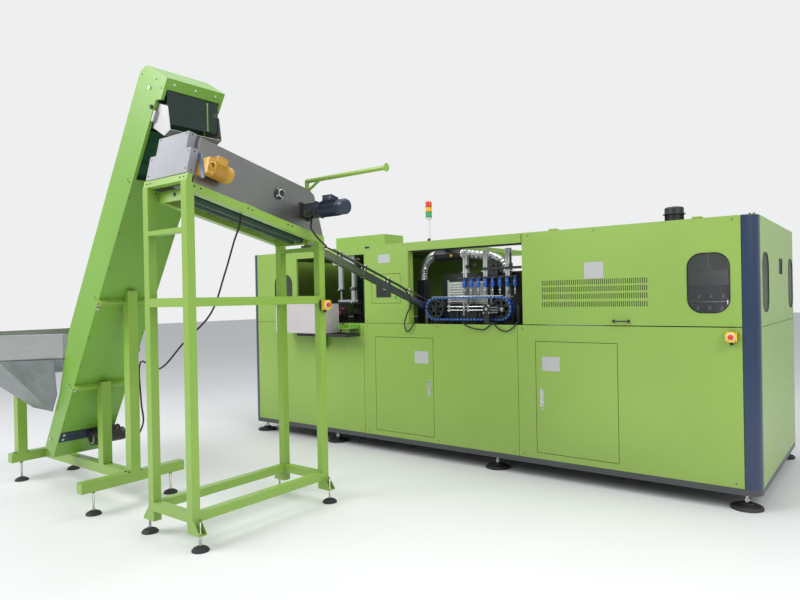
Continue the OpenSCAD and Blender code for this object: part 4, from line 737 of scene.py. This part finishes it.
# Screws round the cabinet's panels: lower and upper rows on each side, then the roof
def panelScrews():
    d = dict(low=(200, 1318), high=(1378, 2142), takeout=(-4760, -3600), doorX=-1765, open=(-3060, -1740))
    p = Piece("panelScrews")
    for x in (-5300, -4760, -3700, -3585, -3090, -1700, -1100, -60):
        solid = x <= d["takeout"][0] or d["takeout"][1] <= x <= d["doorX"]
        for z in d["high"] if solid else d["high"][1:]:
            p.screw((x, 0, z), toFront, 5)
    for x, z in product((-5300, -4500, -3700, -3590, -2690, -1870, -1765, -60), d["low"]):
        p.screw((x, 0, z), toFront, 5)
    for y, z in product((130, 600, 1030, 1460, 1930), d["low"] + d["high"]):
        p.screw((wallRight, y, z), toRight, 5, 1.2)
        p.screw((wallLeft, y, z), toLeft, 5, 1.2)
    for x in (-5300, -4900, -4500, -4100, -3700, -3300, -2900, -2500, -2100, -1650, -1250, -850, -450, -60):
        for z in d["low"] if d["open"][0] < x < d["open"][1] else d["low"] + d["high"]:
            p.screw((x, wallRear, z), toRear, 5)
    for x, y in product((-5300, -4200, -3100, -1700, -900, -60), (160, 1060, 1960)):
        p.screw((x, y, roofZ), upward, 6)
    for x in (-4560, -4215, -3870):
        p.screw((x, 620, 2200), toFront, 4)
        p.screw((x, 980, 2200), toRear, 4)
    p.done("blackMetal", "black_metal")


# Bolts round the foot of each elevator post; the last post stands on the beam along x
def footBolts():
    d = dict(z=260, across=24, along=53, beamPostX=-4435)
    posts = ((-3995, liftY), (-5500, -2684), (-5500, -2216))
    p = Piece("postFootBolts")
    for a, b in product((-d["across"], d["across"]), (-d["along"], d["along"])):
        for x, y in posts:
            p.bolt((x + a, y + b, d["z"]), upward, 6, 6)
        p.bolt((d["beamPostX"] + b, liftY + a, d["z"]), upward, 6, 6)
    p.done("blackMetal", "black_metal")


# Rings between the tower's lamps, and the tower's foot
def towerRings():
    d = dict(x=-2800, y=52, joints=(2408.5, 2460.8, 2512.8), half=2.8)
    p = Piece("towerRings")
    for z in d["joints"]:
        p.ring((d["x"], d["y"], z - d["half"]), upward, 30, 33, 5.5, 0.4, 1)
    foot = [(0, 0), (20, 0), (20, 5), (15, 9), (15, 26), (14, 28), (0, 28)]
    p.lathe(foot, (d["x"], d["y"], roofZ), upward, 30)
    p.done("blackPlastic", "black_plastic")


# The roof fan's fins, bolts and cap
def fanFins():
    d = dict(x=-640, y=700, fins=24, finR=(70, 78.5), finZ=(10, 122), bolts=6, boltR=91, capZ=2354)
    x, y, (r0, r1), (z0, z1) = d["x"], d["y"], d["finR"], d["finZ"]
    p = Piece("fanFins")
    p.fins((x, y, roofZ), "Z", d["fins"], 0, (r0, -1.2, z0), (r1, 1.2, z1), 0.6)
    for dx, dy in onCircle(d["boltR"], d["bolts"]):
        p.bolt((x + dx, y + dy, roofZ + 6), upward, 6, 5)
    p.lathe([(60, 0), (64, 0), (64, 3), (40, 7), (0, 9)], (x, y, d["capZ"]), upward, 40)
    p.done("blackMetal", "black_metal")


# The blower's fins, collars and cap, and the clamps of its ducts
def blowerParts():
    d = dict(y=335, z=2043, fins=20, finR=54, finX=(-2735, -2625), collarX=(-2896, -2762, -2618))
    p = Piece("blowerFins")
    a, b = d["finX"]
    p.fins((0, d["y"], d["z"]), "X", d["fins"], d["finR"], (a, -1.1, 0), (b, 1.1, 5), 0.6)
    for x in d["collarX"]:
        p.ring((x, d["y"], d["z"]), toRight, 50, 58.5, 10, 0.5, 2, 40)
    p.done("blackMetal", "black_metal")
    p = Piece("blowerCap")
    p.cap((-2690, 278, 2030), toFront, 13, 5, 10, 8, 20)
    p.done("yellowPlastic", "yellow_plastic")
    p = Piece("ductClamps")
    spots = ((-3085, 1798, upward), (-2928, d["z"], toRight), (-2592, d["z"], toRight), (-2105, 1838, upward))
    for x, z, way in spots:
        p.ring((x, d["y"], z), way, 42, 47, 10, 0.5, 1)
    p.done("bright", "bright_steel")


# Collars and tips of the rack's chucks, and the bolts of their rail
def chuckCollars():
    d = dict(n=8, x=-2500, y=214, step=80, collarZ=1664, tipZ=1622, rimZ=1752)
    rail = dict(n=9, x=-2545, step=78, y=194, z=1796)
    p = Piece("chuckCollars")
    for i in range(d["n"]):
        x = d["x"] + i * d["step"]
        p.ring((x, d["y"], d["collarZ"]), upward, 7, 13, 11, 1, 2, 24)
        p.lathe([(0, 0), (6, 0), (9, 3), (9, 6), (8, 7), (0, 7)], (x, d["y"], d["tipZ"]), upward, 20)
        p.lathe([(15, 0), (17, 0), (17, 4), (15, 4)], (x, d["y"], d["rimZ"]), upward, 24)
    for i in range(rail["n"]):
        p.bolt((rail["x"] + i * rail["step"], rail["y"], rail["z"]), toFront, 5, 4, False)
    p.done("bright", "bright_steel")


# A place at s along the chain's loop: its x and z, and the angle it has turned through
def onLoop(c, s):
    half = c["run"] + math.pi * c["r"]
    back = s >= half
    s -= half * back
    t = max(0, s - c["run"]) / c["r"]
    x = min(s, c["run"]) + c["r"] * math.sin(t)
    z = -c["r"] * math.cos(t)
    if back:
        return c["x"] + c["run"] - x, c["z"] - z, math.pi + t
    return c["x"] + x, c["z"] + z, t


# Side plates and pins of the chain
def chainParts():
    c = dict(x=-2788, z=1493, r=106, run=740, pitch=38, face=109.5, plate=((-13, -11), (13, 9)), thick=5.5)
    total = 2 * c["run"] + math.tau * c["r"]
    n = int(total / c["pitch"])
    (xa, za), (xb, zb) = c["plate"]
    plates, pins = Piece("chainPlates"), Piece("chainPins")
    for i in range(n):
        x, z, t = onLoop(c, i * total / n)
        turn = Matrix.Translation((x, 0, z)) @ Matrix.Rotation(-t, 4, "Y")
        plates.block((xa, c["face"], za), (xb, c["face"] + c["thick"], zb), 2.5, 2, turn)
        pins.cap((x, c["face"], z), toFront, 4.5, 2, 3, 3, 10)
    pins.done("bright", "bright_steel")
    plates.done("bluePlastic", "blue_plastic")


# Lamp tubes of the oven in their holders
def ovenLamps():
    d = dict(n=8, x=(-2752, -2284), y=332, z=1549, step=26, tube=5, holders=(-2752, -2298))
    p = Piece("ovenLamps")
    for i in range(d["n"]):
        z = d["z"] + i * d["step"]
        p.rod((d["x"][0], d["y"], z + 12), (d["x"][1], d["y"], z + 12), d["tube"], 12)
        for x in d["holders"]:
            p.block((x - 4, d["y"] - 10, z + 4), (x + 18, d["y"] + 8, z + 20), 1.5)
    p.done("whitePlastic", "aluminium")


# Angle brackets on the aluminium uprights
def profileBrackets():
    d = dict(posts=(-2503, -2272, -2030), half=22.5, reach=50, leaf=4.5, y=(240, 276))
    y0, y1 = d["y"]
    p = Piece("profileBrackets")
    for x in d["posts"]:
        for z, k in product((bedZ + 0.5, 1600, 1850, 2020), (-1, 1)):
            a = x + k * d["half"]
            p.block((a, y0, z), (x + k * d["reach"], y1, z + 5), 1)
            p.block((a, y0, z), (a + k * d["leaf"], y1, z + 32), 1)
            p.bolt((x + k * 38, (y0 + y1) / 2, z + 5), upward, 5, 4)
        p.block((x - 22, y0 - 4, 2065), (x + 22, y1 + 4, 2068), 1)
    p.done("aluminium", "aluminium")


# Black connectors above the chain and at the foot of the rack
def wiring():
    d = dict(y=(218, 236), footY=(177, 191), footZ=1480)
    upper = ((-2470, 1905), (-2380, 1915), (-2200, 1900), (-2100, 1908), (-1990, 1902))
    p = Piece("wiring")
    for x, z in upper:
        p.block((x - 18, d["y"][0], z - 15), (x + 18, d["y"][1], z + 20), 2.5)
        p.cap((x, d["y"][0] + 8, z - 15), downward, 7, 10, 5, 13, 12)
    for x in (-2700, -2620, -2560, -2350, -2310, -2180, -1960, -1900):
        top = d["footZ"] + (x % 3) * 22
        p.block((x - 14, d["footY"][0], bedZ + 0.5), (x + 14, d["footY"][1], top), 2)
    p.done("blackPlastic", "black_plastic")


# Bars inside the chain's loop and the guide over it
def loopParts():
    d = dict(x=(-2660, -2176), y=150, z=(1478, 1512), holders=(-2640, -2418, -2196), knobX=-2455, knobY=128)
    x, y = d["knobX"], d["knobY"]
    p = Piece("loopBars")
    for z in d["z"]:
        p.rod((d["x"][0], d["y"], z), (d["x"][1], d["y"], z), 6, 16)
    for a in d["holders"]:
        p.block((a - 9, 142, 1462), (a + 9, 196, 1528), 2)
    p.rod((x, y, 1440), (x, y, 1560), 7, 18)
    p.lathe([(0, 0), (13, 0), (14, 2), (14, 20), (12, 23), (0, 23)], (x, y, 1500), upward, 24)
    p.block((x - 13, y, 1496), (x + 13, y + 22, 1522), 2)
    p.lathe([(0, 0), (9, 0), (11, 3), (11, 12), (0, 14)], (x, y, 1428), upward, 20)
    p.done("bright", "bright_steel")
    g = dict(x=(-2830, -2050), y=((119, 127), (173, 181)), z=(1609.5, 1617), rungs=9, rungX=-2800, step=90)
    p = Piece("railGuide")
    for a, b in g["y"]:
        p.block((g["x"][0], a, g["z"][0]), (g["x"][1], b, g["z"][1]), 1.5)
    for i in range(g["rungs"]):
        x = g["rungX"] + i * g["step"]
        p.block((x, 127, 1610), (x + 10, 173, 1614), 1)
    p.done("bright", "bright_steel")


# Ribs, bolts and caps of the oven's gear motor
def gearMotorParts():
    d = dict(y=66, z=1485, ribX=(-2113, -2032), ribY=(34, 38), ribZ=(1455, 1480, 1505), face=32)
    p = Piece("gearMotorParts")
    (xa, xb), (ya, yb) = d["ribX"], d["ribY"]
    for z in d["ribZ"]:
        p.block((xa, ya, z), (xb, yb, z + 4), 1)
    for x, z in product((-2182, -2123), (1453, 1517)):
        p.bolt((x, d["face"], z), toFront, 5.5, 5)
    endCap = [(0, 0), (17, 0), (21, 3), (21, 12), (17, 15), (9, 16), (0, 16)]
    p.lathe(endCap, (-2011, d["y"], d["z"]), toRight, 28)
    p.cap((-2152, d["face"], 1490), toFront, 14, 4, 11, 6)
    p.done("greyMetal", "bright_steel")


# The take-out side: cylinder caps, fittings and the hand wheel
def takeoutSide():
    d = dict(plateY=75.3, y=137.3, end=18, proud=3, wheelX=-4090, wheelZ=1450)
    cylinders = ((-4080, 34, (1700, 2020)), (-3890, 26, (1720, 2020)), (-3890, 34, (1560, 1701)))
    p = Piece("cylinderCaps")
    for x, r, zs in cylinders:
        r += d["proud"]
        for z in zs:
            p.block((x - r, d["y"] - r, z), (x + r, d["y"] + r, z + d["end"]), 3)
    p.ring((d["wheelX"], d["y"] - 2, d["wheelZ"]), toRear, 80, 108, 16, 2, 3, 48)
    p.done("blackMetal", "black_metal")
    p = Piece("cylinderFittings")
    for x, z in ((-4080, 1709), (-4080, 2029), (-3890, 1729), (-3890, 2029), (-3890, 1569)):
        elbow = [(0, 0), (6, 0), (6, 6), (8, 7), (8, 14), (5, 16), (0, 16)]
        p.lathe(elbow, (x, d["y"] - 37, z), toFront, 14)
    for x, z in product((-4130, -3850), (2010, 2130)):
        p.bolt((x, d["plateY"], z), toFront, 6, 4, False)
    p.done("bright", "bright_steel")
    p = Piece("handGrip")
    p.rod((-4040, 128, 1500), (-4040, 92, 1500), 9, 18, 3)
    p.cap((d["wheelX"], 105, d["wheelZ"]), toFront, 24, 6, 18, 10, 28)
    p.done("redPlastic", "red_plastic")


# A folded rim on three sides of the reject box, and rivets down its corners
def boxRims():
    d = dict(x=(-4750.5, -3999.5), y=(-250.5, -1), z=(1548, 1560.5), t=3, face=-250)
    (xa, xb), (ya, yb), (za, zb), t = d["x"], d["y"], d["z"], d["t"]
    p = Piece("boxRims")
    p.block((xa, ya, za), (xb, ya + t, zb), 0.8, 1)
    p.block((xb - t, ya, za), (xb, yb, zb), 0.8, 1)
    p.block((xa, ya, za), (xa + t, yb, zb), 0.8, 1)
    for x, z in product((-4735, -4015), (1262, 1400, 1535)):
        p.rivet((x, d["face"], z), toFront, 4.5, 3.5, 1.6, 2.2)
    p.done("boxSteel", "galvanised")


# A valve bank and three air tanks on the bed behind the right window
def valveBank():
    d = dict(n=7, x=-740, step=88, w=62, ends=(-760, -130), railZ=62, bodyZ=128, y=290)
    z, (xa, xb) = bedZ, d["ends"]
    starts = [d["x"] + i * d["step"] for i in range(d["n"])]
    p = Piece("valveRail")
    p.block((xa, 205, z), (xb, 330, z + d["railZ"]), 4)
    for x in starts:
        p.block((x, 215, z + d["railZ"]), (x + d["w"], 318, z + d["bodyZ"]), 4)
        can = [(0, 0), (24, 0), (26, 3), (26, 92), (22, 100), (0, 100)]
        p.lathe(can, (x + d["w"] / 2, d["y"], z + d["bodyZ"]), upward, 24)
    p.block((xa, 420, z), (xb, 436, z + 330), 3)
    p.done("blackMetal", "black_metal")
    p = Piece("valveCaps")
    for x in (a + d["w"] / 2 for a in starts):
        knob = [(0, 0), (15, 0), (17, 3), (17, 24), (12, 30), (5, 31), (5, 42), (0, 42)]
        p.lathe(knob, (x, 240, z + d["bodyZ"]), upward, 24)
        p.cap((x, d["y"], z + d["bodyZ"] + 100), upward, 9, 22, 6, 26, 16)
        p.lathe([(0, 0), (10, 0), (12, 2), (12, 12), (7, 16), (0, 16)], (x, 215, z + 92), toFront, 18)
    p.rod((xa + 12, 262, z + 196), (xb - 12, 262, z + 196), 8, 16, 2)
    for x in (xa + 8, xb - 8):
        p.block((x - 10, 250, z), (x + 10, 274, z + 208), 3)
    p.done("bright", "bright_steel")
    t = dict(xs=(-660, -450, -240), y=520)
    p = Piece("airTanks")
    for x in t["xs"]:
        tank = [(0, 0), (52, 0), (62, 10), (62, 210), (50, 236), (20, 248), (0, 250)]
        p.lathe(tank, (x, t["y"], z), upward, 36)
        p.cap((x, t["y"], z + 248), upward, 12, 20, 9, 24, 16)
    p.done("greyMetal", "bright_steel")


# A dark sheet with stiffening strips behind the lift door's louvre, painted shade that makes the slots read
# dark like a shaded inside
def louvreShadeSheet():
    d = dict(x=(-1600, -640), y=(4.5, 8.5), z=(1490, 1750), strips=(-1590, -1280, -960, -650))
    (ya, yb), (za, zb) = d["y"], d["z"]
    p = Piece("louvreShadeSheet")
    p.block((d["x"][0], ya, za), (d["x"][1], yb, zb), 1)
    for x in d["strips"]:
        p.block((x - 6, ya - 0.3, za - 6), (x + 6, yb + 1, zb + 6), 1)
    p.done("blackPlastic", "black_plastic", "lift_door")


# Rings under the two stop buttons, thin enough for the buttons' travel, and their boxes' glands
def stopParts():
    a = dict(x=-70, face=-55, z=1280, glandY=-28)
    b = dict(face=-2680, y=-1540, z=1566, glandX=-2708)
    reach = 32
    p = Piece("stopRings")
    ring = [(10, 0), (28, 0), (28, 0.8), (27, 1.2), (10, 1.2)]
    p.lathe(ring, (a["x"], a["face"], a["z"]), toFront)
    p.lathe(ring, (b["face"], b["y"], b["z"]), toRight)
    p.done("whitePlastic", "aluminium")
    p = Piece("stopGlands")
    gland = [(0, 0), (9, 0), (9, 10), (11, 11), (11, 18), (7, 22), (0, 22)]
    p.lathe(gland, (a["x"], a["glandY"], a["z"] - 38.5), downward, 16)
    p.lathe(gland, (b["glandX"], b["y"], b["z"] - 38.5), downward, 16)
    for k, h in product((-reach, reach), (-reach, reach)):
        p.screw((a["x"] + k, a["face"], a["z"] + h), toFront, 4)
        p.screw((b["face"], b["y"] + k, b["z"] + h), toRight, 4)
    p.done("blackPlastic", "black_plastic")


# Rims round the two lower doors' locks, and the faces of their keys
def lockParts():
    d = dict(left=-2798, right=-1588, z=634.4, w=37.2, h=150.5, r=5, bead=1.6, keyZ=715)
    for side in ("left", "right"):
        x = d[side]
        p = Piece(side + "LockRim")
        rim = roundRect(x - d["w"] / 2, d["z"], d["w"], d["h"], d["r"], 4)
        p.tube([(a, -0.6, b) for a, b in rim], d["bead"])
        p.cap((x, -0.2, 610), toFront, 7, 1.4, 5.5, 2, 20)
        p.done("bright", "bright_steel", side + "_door")
    for side in ("left", "right"):
        x = d[side]
        p = Piece(side + "Key")
        key = [(0, 0), (9, 0), (9, 1.4), (7, 2.2), (2.5, 2.2), (2.5, 0.6), (0, 0.6)]
        p.lathe(key, (x, -1.5, d["keyZ"]), toFront, 22)
        p.block((x - 10, -2.4, 667), (x + 10, -1.4, 672), 0.6)
        p.done("bright", "bright_steel", side + "_lock")


# Nuts of the lift door's handle, and small things along the roof's edge
def roofEdge():
    p = Piece("handleNuts")
    for x in (-942, -822):
        p.lathe([(6, 0), (13, 0), (13, 2), (11, 4), (6, 4)], (x, -3, 1388), toFront, 24)
    p.done("blackMetal", "black_metal", "lift_door")
    h = dict(xs=(-1465, -300), reach=24, ys=(42, 60), z=2182)
    p = Piece("hingeScrews")
    for x, k in product(h["xs"], (-1, 1)):
        for y in h["ys"]:
            p.screw((x + k * h["reach"], y, h["z"]), upward, 4)
    p.done("bright", "bright_steel")
    b = dict(x=(34, 86), y=(50, 84), z=(roofZ - 0.2, roofZ + 6), screws=(46, 74), stops=(-200, -150, -90))
    (xa, xb), (ya, yb), (za, zb) = b["x"], b["y"], b["z"]
    p = Piece("postBracket")
    p.block((xa, ya, za), (xb, yb, zb), 1.5)
    p.done("limeFrame", "lime_paint")
    p = Piece("panelLatch")
    p.block((-3602, -5, 2146), (-3540, 0, 2164), 2)
    p.block((-3590, -8, 2149), (-3552, -4, 2161), 2)
    p.done("blackMetal", "black_metal")
    p = Piece("roofScrews")
    for x in b["screws"]:
        p.cap((x, 66, zb), upward, 8, 7, 6, 9, 14)
    for x in b["stops"]:
        p.block((x - 18, 60, roofZ), (x + 18, 76, roofZ + 4), 1.5)
    p.done("blackMetal", "black_metal")


# The hopper's rolled rim and rivets; narrow is half the width at the elevator
def hopperParts():
    d = dict(x0=-5950, x1=-4920, neckX=-4630, half=620, narrow=243.3, z=1360, inset=4, bead=3.8, rivetZ=1160)
    p = Piece("hopperRim")
    half, narrow = d["half"] - d["inset"], d["narrow"] - d["inset"]
    side = [(d["x0"] + d["inset"], -half), (d["x1"], -half), (d["neckX"], -narrow)]
    route = side[::-1] + [(x, -y) for x, y in side]
    p.tube([(x, liftY + y, d["z"]) for x, y in route], d["bead"], closed=False)
    p.done("stainless", "stainless")
    r = dict(r=5, top=4, side=1.8, h=2.4)
    p = Piece("hopperRivets")
    for i in range(9):
        x = d["x0"] + 60 + i * 115
        for k in (-1, 1):
            p.rivet((x, liftY + k * (d["half"] - r["h"]), d["rivetZ"]), (0, k, 0), **r)
    for i in range(10):
        y = liftY - 560 + i * 124
        p.rivet((d["x0"] + r["h"], y, d["rivetZ"]), toLeft, **r)
    p.done("bright", "bright_steel")


# The trough's side: a bearing's parts, then the kicker motor's bracket
def troughSide():
    d = dict(x=-2743, s=780, n=180, boltR=36)
    x, s0, n0 = d["x"], d["s"], d["n"]
    p = Piece("bearingParts", slope)
    p.lathe([(24, 0), (30, 0), (30, 22), (27, 26), (24, 26)], (x + 6, s0, n0), toRight, 30)
    for s, n in onCircle(d["boltR"], 4, 45):
        p.bolt((x + 14, s0 + s, n0 + n), toRight, 6, 5)
    p.cap((x + 21, s0, n0 + 30), upward, 3.5, 5, 2, 8, 10)
    p.done("bright", "bright_steel")
    k = dict(s=1055, n=130, reach=52, flangeX=142, ribs=5)
    p = Piece("kickerBracket", slope)
    for n in (k["n"] - k["reach"], k["n"] + k["reach"]):
        for s in (k["s"] - k["reach"], k["s"] + k["reach"]):
            p.bolt((x + 12, s, n), toRight, 7, 6)
    p.block((x + 20, 1103, 96), (x + 70, 1112, 150), 2)
    p.block((x + 60, 1000, 66), (x + 120, 1009, 120), 2)
    for i in range(k["ribs"]):
        p.block((x + 34 + i * 22, 1030, 176), (x + 42 + i * 22, 1080, 184), 1.5)
    p.ring((x + k["flangeX"], k["s"], k["n"]), toRight, 10, 46, 10, 2, 2, 32)
    p.done("blackMetal", "black_metal")


makers = (
    seals, barePlates, yellowMotor, navyMotor, studs, elevatorBolts, curtainStrip, elevatorScrews,
    feederFasteners, panelScrews, footBolts, towerRings, fanFins, blowerParts, chuckCollars, chainParts,
    ovenLamps, profileBrackets, wiring, loopParts, gearMotorParts, takeoutSide, boxRims, valveBank,
    louvreShadeSheet, stopParts, lockParts, roofEdge, hopperParts, troughSide,
)
for make in makers:
    make()
print("pieces made")


# A pale floor, a soft grey surround that the camera sees as white, and three large lamps
def setStage():
    d = dict(floor=(-40, 40, -30, 50), around=(0.55, 0.57, 0.60, 1), behind=(0.86, 0.865, 0.87, 1))
    lamps = {
        "key": ((-3.5, -6.5, 6.5), (0, 0, 1.2), 5.0, 520),
        "right": ((7.5, -2.0, 5.5), (1.5, 0.8, 1.2), 4.0, 260),
        "top": ((0.5, 1.0, 7.5), (0, 0.5, 0), 6.0, 260),
    }
    x0, x1, y0, y1 = d["floor"]
    floor = bpy.data.objects.new("floor", bpy.data.meshes.new("floor"))
    floor.data.from_pydata([(x0, y0, 0), (x1, y0, 0), (x1, y1, 0), (x0, y1, 0)], [], [(0, 1, 2, 3)])
    scene.collection.objects.link(floor)
    k = Look("floorLook")
    cloud = k.noise(0.35, 6)
    col = k.mix(cloud, (0.70, 0.705, 0.70, 1), (0.78, 0.785, 0.78, 1))
    k.set(Base_Color=col, Roughness=0.42 + cloud * 0.2)
    floor.data.materials.append(k.mat)
    world = bpy.data.worlds.new("world")
    scene.world = world
    world.use_nodes = True
    tree = world.node_tree
    tree.nodes.clear()
    out, bg = tree.nodes.new("ShaderNodeOutputWorld"), tree.nodes.new("ShaderNodeBackground")
    ray, mix = tree.nodes.new("ShaderNodeLightPath"), tree.nodes.new("ShaderNodeMix")
    mix.data_type = "RGBA"
    mix.inputs[6].default_value = d["around"]
    mix.inputs[7].default_value = d["behind"]
    tree.links.new(ray.outputs["Is Camera Ray"], mix.inputs[0])
    tree.links.new(mix.outputs[2], bg.inputs[0])
    tree.links.new(bg.outputs[0], out.inputs[0])
    for name, (at, to, size, power) in lamps.items():
        light = bpy.data.lights.new(name, "AREA")
        light.size = size
        light.energy = power
        ob = bpy.data.objects.new(name, light)
        scene.collection.objects.link(ob)
        ob.location = at
        ob.rotation_euler = (Vector(to) - Vector(at)).to_track_quat("-Z", "Y").to_euler()
    scene.view_settings.view_transform = "Standard"


setStage()
print("stage set")
